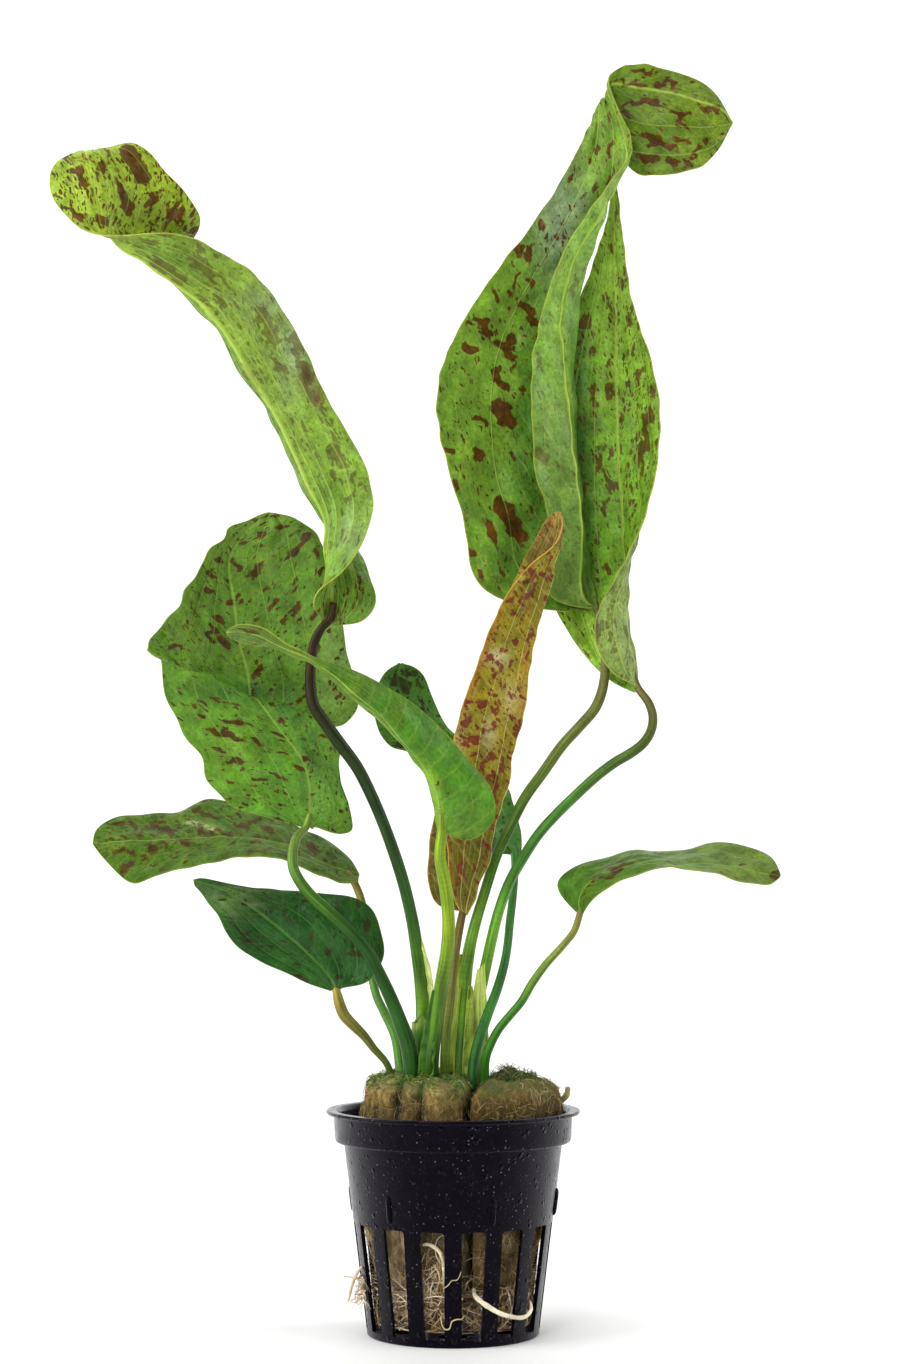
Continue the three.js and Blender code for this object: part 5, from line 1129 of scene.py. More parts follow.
def stub_part(marks, seed):
    """Cut stub, hollow at the top: out along the outside, over a ragged lip, down the inside,
    and closed by a floor. Radius and height are functions of the turn and of the place on
    that path."""
    marks = np.asarray(marks, float)
    turn = np.arange(STUB_SIDES) * 2 * math.pi / STUB_SIDES
    rise = np.concatenate([np.linspace(0, 1, 40), np.linspace(1, 0.72, 12), np.full(3, 0.72)])
    share = np.concatenate([np.ones(40), np.linspace(0.86, 0.8, 12), [0.5, 0.25, 0.03]])
    centre = spline(placed(marks[:, :3]), rise)
    radius = np.interp(rise, np.linspace(0, 1, len(marks)), marks[:, 3] / 2) * share
    radius = radius[:, None] * (1 + 0.05 * np.cos(3 * turn) + 0.03 * np.cos(8 * turn + 1))
    ragged = 0.8 * ripple(turn * 2, 0 * turn, 2.5, seed) + 0.9 * np.cos(turn - 0.6) - 0.9
    lift = smooth_step(0.55, 1, rise)[:, None] * ragged
    ring = packed(radius * np.cos(turn), radius * np.sin(turn), lift)
    part = closed_rings(centre[:, None] + ring, centre[[0, -1]])
    foot, cut = linear("#3c6420"), linear("#7f9c48")
    shade = foot + (cut - foot) * smooth_step(0.6, 1, rise)[:, None]
    part["ground"] = np.concatenate([np.repeat(shade, STUB_SIDES, axis=0), shade[:1], shade[-1:]])
    flat = packed(turn * 2, rise[:, None] * 18, 0).reshape(-1, 3)
    part["vein_space"] = np.concatenate([flat, flat[:2]])
    return part


# Materials


def add_node(tree, kind, inputs=(), operation=None, out=0, **settings):
    """Adds one node with its settings, fills or links its inputs, which are a list in order or
    a dict by name or number, and returns one output."""
    made = tree.nodes.new("ShaderNode" + kind)
    if operation:
        made.operation = operation
    for key, value in settings.items():
        setattr(made, key, value)
    for key, value in inputs.items() if isinstance(inputs, dict) else enumerate(inputs):
        if isinstance(value, bpy.types.NodeSocket):
            tree.links.new(value, made.inputs[key])
        else:
            made.inputs[key].default_value = value
    return made.outputs[out] if len(made.outputs) else made


# Settings of nodes that mix colours, and of ranges with soft ends.
COLOUR_MIX = {"out": 2, "data_type": "RGBA"}
SMOOTH = {"interpolation_type": "SMOOTHSTEP"}


def tone(code):
    """sRGB hex colour as a linear colour with full alpha."""
    return (*linear(code), 1)


def new_material(name):
    """Empty node material, and the node-adding function for its tree."""
    material = bpy.data.materials.new(name)
    material.use_nodes = True
    material.node_tree.nodes.clear()
    return material, partial(add_node, material.node_tree)


def close_material(add, **sockets):
    """Principled surface with its sockets filled or linked, joined to the material output."""
    named = {key.replace("_", " ").title().replace("Ior", "IOR"): value for key, value in sockets.items()}
    add("OutputMaterial", {"Surface": add("BsdfPrincipled", named)})


def leaf_material(name, spot, rust, spot_below, margin, vein, ripe_shade, dull_share, gloss):
    """Living sword-plant leaf: a waxy skin over green tissue. What gives the look is the
    half-gloss skin, paler raised veins with a net of fine cross veins between them, and
    red-brown spots with stepped edges that stop at the side veins and show dull below."""
    material, add = new_material(name)
    ground = add("Attribute", out="Color", attribute_name="ground")
    space = add("Attribute", out="Vector", attribute_name="vein_space")
    zone = add("Attribute", out="Vector", attribute_name="leaf_zone")
    paint = add("Attribute", out="Vector", attribute_name="leaf_paint")
    place = add("TexCoord", out="Object")
    split = [add("SeparateXYZ", [vector]).node.outputs for vector in (space, zone, paint)]
    (slant, cross, number), (edge, gap, _), (below, patch, speck) = split

    # Main veins: distance from the nearest whole vein number, in mm.
    whole = add("Math", [number], "ROUND")
    off = add("Math", [number, whole], "SUBTRACT")
    off = add("Math", [add("Math", [off], "ABSOLUTE"), gap], "MULTIPLY")
    main = add("MapRange", [off, 0.03, 0.27, 1, 0], **SMOOTH)
    centre = add("MapRange", [add("Math", [whole], "ABSOLUTE"), 0.4, 0.6, 1, 0])
    wide = add("MapRange", [off, 0.15, 0.6, 1, 0], **SMOOTH)
    rib = add("Math", [wide, centre], "MULTIPLY")
    main = add("Math", [main, rib], "MAXIMUM")

    # Fine side veins every 1.5 mm along the slant, bent a little by noise.
    bent = add("TexNoise", {"Vector": space, "Scale": 0.35, "Detail": 2})
    wander = add("Math", [bent, 1.1, cross], "MULTIPLY_ADD")
    step = add("Math", [wander, 1.5], "PINGPONG")
    net = add("MapRange", [step, 0.05, 0.3, 1, 0], **SMOOTH)
    fine = add("Math", [number, 0.166], "PINGPONG")
    fine = add("Math", [fine, gap], "MULTIPLY")
    fine = add("MapRange", [fine, 0.03, 0.22, 1, 0], **SMOOTH)
    net = add("Math", [net, fine], "MAXIMUM")

    # Cloudy tissue: 4 mm clouds and 0.7 mm grain lighten and darken the ground.
    cloud = add("TexNoise", {"Vector": place, "Scale": 250, "Detail": 3})
    grain = add("TexNoise", {"Vector": place, "Scale": 1400, "Detail": 2})
    cloud = add("MapRange", [cloud, 0.3, 0.7, 0.68, 1.25])
    grain = add("MapRange", [grain, 0.3, 0.7, 0.76, 1.22])
    shade = add("Math", [cloud, grain], "MULTIPLY")
    ripe = add("TexNoise", {"Vector": place, "Scale": 130, "Detail": 4, "Roughness": 0.6})
    ripe = add("MapRange", [ripe, 0.45, 0.72, 0, 0.2])
    colour = add("Mix", {0: ripe, 6: ground, 7: tone(ripe_shade)}, **COLOUR_MIX)
    colour = add("VectorMath", {0: colour, "Scale": shade}, "SCALE")
    strength = add("MapRange", [below, 0, 1, 0.3, 0.5])
    strength = add("Math", [rib, 0.3, strength], "MULTIPLY_ADD")
    strength = add("Math", [main, strength], "MULTIPLY")
    strength = add("Math", [net, 0.14, strength], "MULTIPLY_ADD")
    colour = add("Mix", {0: strength, 6: colour, 7: tone(vein)}, **COLOUR_MIX)

    # Spots: listed ones by their depth, and random cells of three sizes on the slant.
    steps = add("CombineXYZ", [add("Math", [slant, 0.4], "MULTIPLY"), cross])
    chips = add("TexVoronoi", {"Vector": steps, "Scale": 1.7}, out="Color", distance="CHEBYCHEV")
    wavy = add("TexNoise", {"Vector": space, "Scale": 0.6, "Detail": 2})
    ragged = add("Math", [add("SeparateXYZ", [chips]), 0.36, -0.6], "MULTIPLY_ADD")
    ragged = add("Math", [wavy, 0.9, ragged], "MULTIPLY_ADD")
    spots = add("MapRange", [add("Math", [patch, ragged], "ADD"), -0.08, 0.08])
    along = add("Math", [wavy, 2.2, slant], "MULTIPLY_ADD")
    aside = add("Math", [wavy, 1.6, cross], "MULTIPLY_ADD")
    for long, short, share in ((4, 1.5, 0.4), (2.1, 0.75, 1), (1, 0.42, 0.8)):
        grid = add("CombineXYZ", [add("Math", [along, 1 / long], "MULTIPLY"),
                                  add("Math", [aside, 1 / short], "MULTIPLY")])
        cell = add("TexVoronoi", {"Vector": grid, "Scale": 1, "Randomness": 0.9, "Exponent": 3},
                   distance="MINKOWSKI").node
        chance = add("SeparateXYZ", [cell.outputs["Color"]]).node.outputs
        picked = add("Math", [speck, share], "MULTIPLY")
        picked = add("Math", [chance[0], picked], "LESS_THAN")
        reach = add("MapRange", [chance[1], 0, 1, 0.16, 0.42])
        grown = add("Math", [reach, cell.outputs["Distance"]], "SUBTRACT")
        grown = add("MapRange", [grown, -0.04, 0.04])
        grown = add("Math", [grown, picked], "MULTIPLY")
        spots = add("Math", [spots, grown], "MAXIMUM")
    dull = add("MapRange", [below, 0, 1, 0.95, dull_share])
    veined = add("Math", [main, -0.35, dull], "MULTIPLY_ADD")
    spots = add("Math", [spots, veined], "MULTIPLY", use_clamp=True)
    rusty = add("MapRange", [wavy, 0.45, 0.62, 0, 0.9])
    brown = add("Mix", {0: rusty, 6: tone(spot), 7: tone(rust)}, **COLOUR_MIX)
    brown = add("Mix", {0: below, 6: brown, 7: tone(spot_below)}, **COLOUR_MIX)
    brown = add("VectorMath", {0: brown, "Scale": shade}, "SCALE")
    colour = add("Mix", {0: spots, 6: colour, 7: brown}, **COLOUR_MIX)
    rim = add("MapRange", [edge, 0.04, 0.34, 0.45, 0], **SMOOTH)
    colour = add("Mix", {0: rim, 6: colour, 7: tone(margin)}, **COLOUR_MIX)

    relief = add("Math", [net, 0.3, main], "MULTIPLY_ADD")
    relief = add("Math", [grain, 0.6, relief], "MULTIPLY_ADD")
    pucker = add("TexNoise", {"Vector": place, "Scale": 520, "Detail": 2, "Roughness": 0.4})
    bump = add("Bump", {"Height": pucker, "Strength": 0.8, "Distance": 0.0005})
    bump = add("Bump", {"Height": relief, "Strength": 0.8, "Distance": 0.00012, "Normal": bump})
    rough = add("MapRange", [cloud, 0.68, 1.25, 0.42, 0.28])
    close_material(add, base_color=colour, roughness=rough, normal=bump, ior=1.42,
                   specular_ior_level=gloss)
    return material


def stalk_material(name, rough):
    """Living leaf stalk: smooth waxy rind over spongy air channels. What gives the look is
    its gloss, fine lengthways streaks and faint bars where walls cross the channels."""
    material, add = new_material(name)
    ground = add("Attribute", out="Color", attribute_name="ground")
    space = add("Attribute", out="Vector", attribute_name="vein_space")
    place = add("TexCoord", out="Object")
    around, length, _ = add("SeparateXYZ", [space]).node.outputs
    stretched = add("CombineXYZ", [add("Math", [around, 2.6], "MULTIPLY"),
                                   add("Math", [length, 0.09], "MULTIPLY")])
    streak = add("TexNoise", {"Vector": stretched, "Scale": 1, "Detail": 3})
    bent = add("Math", [streak, 0.8, length], "MULTIPLY_ADD")
    bar = add("Math", [bent, 0.6], "PINGPONG")
    bar = add("MapRange", [bar, 0, 0.2, 1, 0], **SMOOTH)
    cloud = add("TexNoise", {"Vector": place, "Scale": 180, "Detail": 3})
    shade = add("MapRange", [streak, 0.3, 0.7, 0.6, 1.4])
    patchy = add("TexNoise", {"Vector": place, "Scale": 320, "Detail": 1})
    patchy = add("MapRange", [patchy, 0.4, 0.65, 0, -0.26])
    shade = add("Math", [bar, patchy, shade], "MULTIPLY_ADD")
    shade = add("Math", [shade, add("MapRange", [cloud, 0.3, 0.7, 0.8, 1.2])], "MULTIPLY")
    colour = add("VectorMath", {0: ground, "Scale": shade}, "SCALE")
    warm = add("MapRange", [streak, 0.5, 0.75, 0, 0.5])
    colour = add("Mix", {0: warm, 6: colour, 7: tone("#b9c65a")}, **COLOUR_MIX, blend_type="SOFT_LIGHT")
    bump = add("Bump", {"Height": streak, "Strength": 0.5, "Distance": 0.00015})
    close_material(add, base_color=colour, roughness=rough, normal=bump, ior=1.42, specular_ior_level=0.2)
    return material


def plastic_material():
    """Injection-moulded black polypropylene: a hard dark gloss with a violet cast where it
    catches the light, over a finely pimpled skin with pale specks that are painted glints."""
    material, add = new_material("black_polypropylene_moulded")
    place = add("TexCoord", out="Object")
    # Pimples: cells 1.3 and 0.7 mm apart, of which a random share stands up as small domes.
    total = None
    for scale, share, size in ((640, 0.5, 0.42), (1300, 0.5, 0.4)):
        cell = add("TexVoronoi", {"Vector": place, "Scale": scale}).node
        chance = add("SeparateXYZ", [cell.outputs["Color"]]).node
        grown = add("MapRange", [chance.outputs[1], 0, 1, size * 0.45, size])
        ratio = add("Math", [cell.outputs["Distance"], grown], "DIVIDE")
        ratio = add("Math", [ratio, ratio], "MULTIPLY")
        dome = add("Math", [1, ratio], "SUBTRACT", use_clamp=True)
        dome = add("Math", [dome, 0.5], "POWER")
        picked = add("Math", [chance.outputs[0], share], "LESS_THAN")
        dome = add("Math", [dome, picked], "MULTIPLY")
        dome = add("Math", [dome, 640 / scale], "MULTIPLY")
        total = dome if total is None else add("Math", [total, dome], "MAXIMUM")
    # Painted glints: a random third of small cells get a pale speck in the base colour.
    glint_cells = add("TexVoronoi", {"Vector": place, "Scale": 1300}).node
    chance = add("SeparateXYZ", [glint_cells.outputs["Color"]]).node
    size = add("MapRange", [chance.outputs[1], 0, 1, 0.06, 0.2])
    painted_glint = add("Math", [glint_cells.outputs["Distance"], size], "LESS_THAN")
    picked = add("Math", [chance.outputs[0], 0.34], "LESS_THAN")
    painted_glint = add("Math", [painted_glint, picked], "MULTIPLY")
    film = add("TexNoise", {"Vector": place, "Scale": 240, "Detail": 4})
    bump = add("Bump", {"Height": total, "Strength": 1, "Distance": 0.0007})
    fine = add("TexNoise", {"Vector": place, "Scale": 3500, "Detail": 2})
    bump = add("Bump", {"Height": fine, "Strength": 0.15, "Distance": 0.00003, "Normal": bump})
    rough = add("MapRange", [film, 0.3, 0.7, 0.17, 0.3])
    dust = add("MapRange", [film, 0.35, 0.75, 0, 1])
    colour = add("Mix", {0: dust, 6: tone("#050404"), 7: tone("#0b090a")}, **COLOUR_MIX)
    colour = add("Mix", {0: painted_glint, 6: colour, 7: tone("#6b6770")}, **COLOUR_MIX)
    close_material(add, base_color=colour, roughness=rough, normal=bump, ior=1.5, specular_ior_level=0.4,
                   specular_tint=(0.125, 0.096, 0.185, 1), sheen_weight=0.05, sheen_roughness=0.45,
                   sheen_tint=(0.4, 0.25, 0.75, 1))
    return material


def wool_material():
    """Mineral wool slab, spun rock fibre that is grown over: dull olive brown, matted in felted
    layers, with darker hollows and a green film of algae towards the top."""
    material, add = new_material("spun_rock_fibre_grown_over")
    place = add("TexCoord", out="Object")
    lay = add("Mapping", {"Vector": place, "Scale": (1, 1, 0.35)})
    felt = add("TexNoise", {"Vector": lay, "Scale": 1200, "Detail": 5, "Roughness": 0.7})
    loose = add("TexNoise", {"Vector": lay, "Scale": 420, "Detail": 2, "Distortion": 1.5})
    loose = add("Math", [add("Math", [loose, 0.5], "SUBTRACT")], "ABSOLUTE")
    loose = add("MapRange", [loose, 0, 0.02, 0.6, 0])
    clump = add("TexNoise", {"Vector": place, "Scale": 170, "Detail": 3})
    ground = add("Attribute", out="Color", attribute_name="ground")
    mat = add("MapRange", [felt, 0.3, 0.7, 0.3, 1.8])
    colour = add("VectorMath", {0: ground, "Scale": mat}, "SCALE")
    colour = add("Mix", {0: loose, 6: colour, 7: tone("#b3a06a")}, **COLOUR_MIX)
    dark = add("MapRange", [clump, 0.4, 0.66, 0, 0.5])
    colour = add("Mix", {0: dark, 6: colour, 7: tone("#3a2d10")}, **COLOUR_MIX)
    height = add("SeparateXYZ", [place]).node.outputs[2]
    algae = add("Math", [clump, 0.009, height], "MULTIPLY_ADD")
    algae = add("MapRange", [algae, 0.0562, 0.0605, 0, 0.9])
    colour = add("Mix", {0: algae, 6: colour, 7: tone("#3c5219")}, **COLOUR_MIX)
    bump = add("Bump", {"Height": felt, "Strength": 0.8, "Distance": 0.0005})
    close_material(add, base_color=colour, roughness=0.92, normal=bump, ior=1.45)
    return material


def strand_material(name, rough, grain):
    """Thin strands, threads of rock fibre, moss or root: their own colour, with a little
    blotching every few millimetres, and a soft dull skin."""
    material, add = new_material(name)
    ground = add("Attribute", out="Color", attribute_name="ground")
    place = add("TexCoord", out="Object")
    blotch = add("TexNoise", {"Vector": place, "Scale": grain, "Detail": 4, "Roughness": 0.6})
    shade = add("MapRange", [blotch, 0.3, 0.7, 0.72, 1.22])
    colour = add("VectorMath", {0: ground, "Scale": shade}, "SCALE")
    bump = add("Bump", {"Height": blotch, "Strength": 0.4, "Distance": 0.0001})
    close_material(add, base_color=colour, roughness=rough, normal=bump, ior=1.45)
    return material


# Finishes

PLASTIC = plastic_material()
WOOL = wool_material()
THREAD = strand_material("rock_fibre_threads", 0.8, 400)
MOSS = strand_material("thread_moss_living", 0.6, 500)
ROOT = strand_material("plant_root_bark_pale", 0.55, 600)
STALK = stalk_material("leaf_stalk_waxy_rind", 0.3)

# The leaf finishes: name, colours of a spot, of its rusty part, of it seen from below, of the
# margin, of the veins and of riper clouds, how strongly spots show below, and the gloss.
LEAF_SKINS = {
    "leaf_bright": ("sword_leaf_bright_waxy", "#492807", "#63380b", "#544520", "#a9ac42", "#a6bf4c",
                    "#93992b", 0.66, 0.22),
    "leaf_green": ("sword_leaf_mid_green_waxy", "#3d2305", "#582f09", "#484020", "#8d983c", "#8fae48",
                   "#848a28", 0.66, 0.22),
    "leaf_level": ("sword_leaf_level_matt", "#40300c", "#4f3a12", "#484020", "#8d983c", "#86a542",
                   "#7a7a26", 0.66, 0.07),
    "leaf_dark": ("sword_leaf_dark_waxy", "#2a2c0e", "#343814", "#363c1e", "#6f8030", "#5a8438",
                  "#4f7028", 0.6, 0.22),
    "leaf_young": ("sword_leaf_young_bronze", "#641a22", "#84461a", "#6e2a20", "#c9932c", "#d9c476",
                   "#a39a2c", 0.9, 0.12),
}
LEAF_FINISHES = {key: leaf_material(*skin) for key, skin in LEAF_SKINS.items()}

# Places of the veins across a blade, for leaves that have them evenly spread.
EVEN_VEINS = [0, 0.17, 0.33, 0.5, 0.67, 0.83, 1]

# The look of each leaf. The colours of its upper and under face run from base to tip. Specks
# are the share of small cells that are spotted and slant is the angle of the side veins, both
# for the left and the right half. A patch is an oval on the sheet, (across, up, half width,
# half height, colour, strength), where two more numbers keep it to a range of places across
# the blade; some patches are the leaf's own colour, others painted shade, painted sheen and
# painted light, as noted at each leaf. A stalk's colours are given by height.
LOOKS = {}
LOOKS["leaf_tall_left"] = dict(
    slot="leaf_bright", veins=[0, 0.17, 0.33, 0.42, 0.5, 0.59, 0.68, 0.82, 1], sheath="#dfee92",
    specks=(0.42, 0.42), tip_specks=0.7, slant=(8, 8), upper="#4f7320 #638722 #829e25 #8ea72a",
    under="#7ca83a #80a03c #73902f",
    tone_and_light_patches=[
        # Painted sheen: the grey patches at (-22.6, 174.5), (-35.2, 214.7) and (-42, 226).
        (-40, 205, 40, 28, "#2f6a22", 0.8, 0.58, 1), (-27, 180, 5, 7, "#5f8a2c", 0.6),
        (-22.6, 174.5, 2.6, 5, "#a5b58c", 0.5), (-35.2, 214.7, 3, 9, "#98a68c", 0.5, 0, 0.5),
        (-42, 226, 5, 3, "#8f9a80", 0.4, 0, 0.5), (-82, 252, 3, 5, "#8f8f2a", 0.5),
        (-63, 256, 4, 3, "#8a922c", 0.4), (-22, 165, 8, 10, "#5a852b", 0.7),
        (-86, 250, 8, 12, "#a9cb40", 0.6), (-31, 200, 6, 20, "#5f8a2e", 0.35, 0.5, 1),
        (-61, 234, 7, 5, "#55792a", 0.6), (-32.4, 209.5, 1.5, 2.8, "#5a2a12", 0.95),
        (-29.9, 205, 1.2, 2.6, "#5a2a12", 0.9),
    ],
    stalk={52: "#54802c", 64: "#5f8a2c", 72: "#62882a", 80: "#517f25", 88: "#376323", 105: "#243f16",
           128: "#233112", 140: "#2c2112", 158: "#332611"},
)
LOOKS["leaf_big_back_left"] = dict(
    slot="leaf_green", frill=0.32, specks=(0.24, 0.26), slant=(62, 48),
    upper="#548825 #558924 #5a8624 #577f25 #5d8427", under="#61853a #698b3e",
    tone_and_light_patches=[
        # Painted shade: the first four dark green patches along the crease, and the long one at (-44, 140)
        # along the ridge.
        (-45.5, 141, 4, 2.4, "#2f6a2a", 0.6), (-37, 136.5, 4, 2.4, "#2f6a2a", 0.65),
        (-32.5, 130, 2.6, 4, "#2f6a2a", 0.6), (-32.5, 121.5, 2.2, 6, "#33702c", 0.5),
        (-50, 128, 6, 7, "#7d9c30", 0.4), (-44, 140, 17, 2.6, "#356326", 0.6),
        (-26, 150, 4, 18, "#7fa24c", 0.75, 0.6, 1), (-30, 118, 7, 8, "#6d9a3c", 0.5, 0.5, 1),
    ],
    stalk={52: "#2a561d", 70: "#265018", 85: "#234a18", 98: "#43691f", 112: "#7a9040"},
)
LOOKS["leaf_level_left"] = dict(
    slot="leaf_green", finish="leaf_level", vein_share=0.45, specks=(0.42, 0.36),
    slant=(52, 48), upper_side=1, upper="#486529 #43621c #406216 #48691a",
    under="#5a7332 #557039",
    tone_and_light_patches=[
        (-57.6, 111.8, 1.5, 0.35, "#dcd69f", 0.7), (-55.2, 111.1, 1.5, 0.35, "#dcd69f", 0.65),
        (-52.8, 110.3, 1.5, 0.35, "#c6be82", 0.6), (-50, 114, 14, 2.5, "#4c6a2a", 0.5, 0, 0.4),
    ],
    stalk={52: "#4a7d2c", 85: "#4f6f2e", 96: "#7a6a30", 102: "#6d5a34"},
)
LOOKS["leaf_low_left"] = dict(
    slot="leaf_dark", specks=(0.2, 0.2), slant=(40, 40),
    upper="#21551b #204e1a #24541d", under="#4c6c34 #55733a",
    tone_and_light_patches=[
        # Painted sheen: all these pale, grey-green and lighter patches at the top left of the blade.
        (-52.5, 95.6, 1.3, 0.9, "#a3ad90", 0.3), (-50.5, 93.6, 1.2, 0.9, "#a3ad90", 0.25),
        (-48.4, 91.6, 1.1, 0.9, "#8f9a78", 0.3), (-47.4, 95.6, 1.6, 0.7, "#a3ad90", 0.3),
        (-44, 93.8, 1.6, 0.6, "#8f9a78", 0.4), (-44, 97.6, 8, 1, "#6a7a52", 0.6),
        (-49, 94.6, 6, 3, "#64803c", 0.65),
    ],
    stalk={52: "#3f6a26", 64: "#6a6a2c", 73: "#93853c", 79: "#a8904e"},
)
LOOKS["leaf_arching_front"] = dict(
    slot="leaf_bright", sheath="#3f6a24", specks=(0.02, 0.02), slant=(50, 50), vein_share=0.42,
    upper="#4b851c #4b8319 #407317 #3f6a1a #456726", under="#5f8f34 #6b9540",
    tone_and_light_patches=[
        (-5, 117, 3, 11, "#8ab52c", 0.6, 0, 0.6), (-16, 136, 14, 14, "#7fa02e", 0.45, 0, 0.38),
        (2, 112, 5, 8, "#3f7526", 0.5, 0.4, 1),
    ],
    stalk={52: "#2f4f18", 60: "#345519", 73: "#557c22", 88: "#7b981d", 112: "#82a028"},
)
LOOKS["leaf_dark_back"] = dict(
    slot="leaf_dark", specks=(0.3, 0.25), slant=(50, 50),
    upper="#3b6c28 #4b7b2c #54822f #3d6c28", under="#5b8040",
    stalk={52: "#2c6428", 100: "#3c7030"},
)
LOOKS["leaf_young_rolled"] = dict(
    slot="leaf_young", specks=(0.5, 0.45), slant=(60, 48), frill=0.12, vein_share=0.6,
    upper="#55531a #6d6122 #7d6c28",
    under="#565212 #695f13 #82771a #8c801d #78701a #69661c",
    tone_and_light_patches=[
        (12, 140, 40, 60, "#a8641a", 0.6, 0.98, 1), (4, 108, 3.5, 8, "#55601a", 0.6),
        (0, 133, 2.5, 14, "#b8ae72", 0.5, 0.7, 1), (14.5, 150, 1.5, 20, "#a86a1c", 0.6, 0.4, 0.62),
        (13.2, 166, 2.4, 3, "#b8ad3c", 0.8), (9.5, 148, 2.6, 2, "#c4bb92", 0.6),
        (12.3, 139, 2, 4, "#b5a878", 0.55), (7.5, 131, 1.6, 4, "#b8ad8a", 0.5),
        (5.5, 120, 3, 6, "#6a5a18", 0.5), (15.8, 159, 1.4, 4, "#6f5a1c", 0.5),
    ],
    stalk={52: "#5f8a30", 72: "#6f7030", 84: "#5f5020", 97: "#5a481c"},
)
LOOKS["leaf_tall_right_front"] = dict(
    slot="leaf_bright", veins=[0, 0.2, 0.45, 0.74, 1.03, 1.3, 1.6], sheath="#a9c04f", bold_tip=(0.74, 0.8),
    frill=0.17, specks=(0.2, 0.16), slant=(32, 32),
    upper="#5f8a27 #689229 #6f962b #6a9128 #608022 #60781c",
    under="#648938 #6f9041 #7a974a",
    tone_and_light_patches=[
        # Painted shade: the dark patches at (16, 194), (14, 172) and (26, 190) by the crease; painted
        # reflection: the grey patch at (23, 243).
        (16, 194, 4.2, 26, "#2a641f", 0.75, 0, 0.5), (14, 172, 5, 8, "#35601f", 0.5, 0, 0.5),
        (20, 224, 9, 17, "#7fb338", 0.7, 0.55, 1), (29, 242, 7, 10, "#86b83c", 0.5, 0.55, 1),
        (26, 190, 5, 36, "#2f6a28", 0.9, 0.3, 0.62), (7, 198, 9, 30, "#7ba63a", 0.45, 0, 0.4),
        (23, 243, 6, 14, "#8c9690", 0.55, 0, 0.45),
    ],
    stalk={52: "#5e8636", 62: "#5e8636", 74: "#6d942e", 89: "#689530", 100: "#4f7a2c", 125: "#5f6f2f",
           145: "#6e6b3a", 156: "#6b6a36", 165: "#4f5a22"},
)
LOOKS["leaf_tall_right_back"] = dict(
    slot="leaf_bright", sheath="#d9ec7c", spot_fade=0.2, specks=(0.4, 0.8), slant=(25, 10),
    upper="#669b28 #72a52b #7ba72e #78a12c", under="#859c50 #769240 #6b8835",
    tone_and_light_patches=[
        # Painted light: the bright patch at (27.5, 152), where the blade lies in shade; painted shadow: the
        # dark strip at (27.4, 195), where the front leaf shades it.
        (27.5, 152, 9, 9, "#b5e34c", 0.9, 0, 0.4), (27.4, 195, 3, 34, "#2a6024", 0.9),
    ],
    # Painted light: the stalk's colour at height 75 is lightened where the stalk lies in shade.
    stalk={52: "#4f8a2c", 75: "#74a530", 90: "#5f9430", 100: "#3f7228", 116: "#456f2b", 123: "#4a6628",
           128: "#44521e", 134: "#505224", 140: "#625d31", 146: "#66783a"},
)
LOOKS["leaf_small_right"] = dict(
    slot="leaf_green", finish="leaf_level", vein_share=0.45, specks=(0.08, 0.05),
    slant=(50, 50), upper="#3a691a #496d22 #5b7635 #60772d", under="#48771d #5e8624",
    stalk={52: "#3a7426", 62: "#3a7426", 72: "#3d6c22", 80: "#6f8a34", 88: "#7d7a3a", 96: "#7a6a3a"},
)

# Plant

for number, (name, leaf) in enumerate(LEAVES.items()):
    look = LOOKS[name]
    seed = 100 + 20 * number
    blade = blade_part(look, leaf["blade"], leaf["lean"], SPOTS[name], seed)
    parts = [blade, stalk_part(leaf["stalk"], leaf["lean"], look["stalk"], seed)]
    for rows in leaf.get("sheaths", []):
        parts.append(sheath_part(rows, leaf["lean"], look["sheath"], seed))
    skin = LEAF_FINISHES[look.get("finish", look["slot"])]
    make_piece(name + "_grown", parts, [skin, STALK], [name])

STUB = [[-7.4, 51.5, -1.5, 3.9], [-7.5, 60, -1.5, 3.9], [-7.5, 66, -1.6, 4], [-7.4, 70.2, -1.7, 4.1]]
make_piece("cut_stalk_stub_hollow", [stub_part(STUB, 7)], [STALK], ["cut_stalk_stub"])

# Wool, moss and roots

# Strands on the wool: their rings, and ranges of length, height of arc and radius in mm. A
# lying strand is down at both ends, and one that lies less stands up at its far end.
FIBRE_LOOK = dict(
    steps=5, length=(1.2, 4.2), lift=(0.05, 0.5), curl=0.3, radius=(0.03, 0.055), lying=1.0, finish=1,
    shades="#8f7a48 #b09d6a #6b5827 #7d6a35 #4a3a16 #c0b080",
)
HAIR_LOOK = dict(FIBRE_LOOK, length=(1.8, 4.8), lift=(0.1, 0.7), radius=(0.035, 0.065), curl=0.5)
MOSS_LOOK = dict(
    steps=5, length=(0.4, 1.5), lift=(0.2, 1.1), curl=0.4, radius=(0.04, 0.09), lying=0.45, finish=2,
    shades="#759a2e #9aba48 #4a7828 #7d8738 #a8a456 #2a4c16 #34601c #5a7c26",
)
DARK_MOSS_LOOK = dict(MOSS_LOOK, lift=(0.5, 1.8), shades="#1f3312 #2c4717 #3f6220 #5c8030")
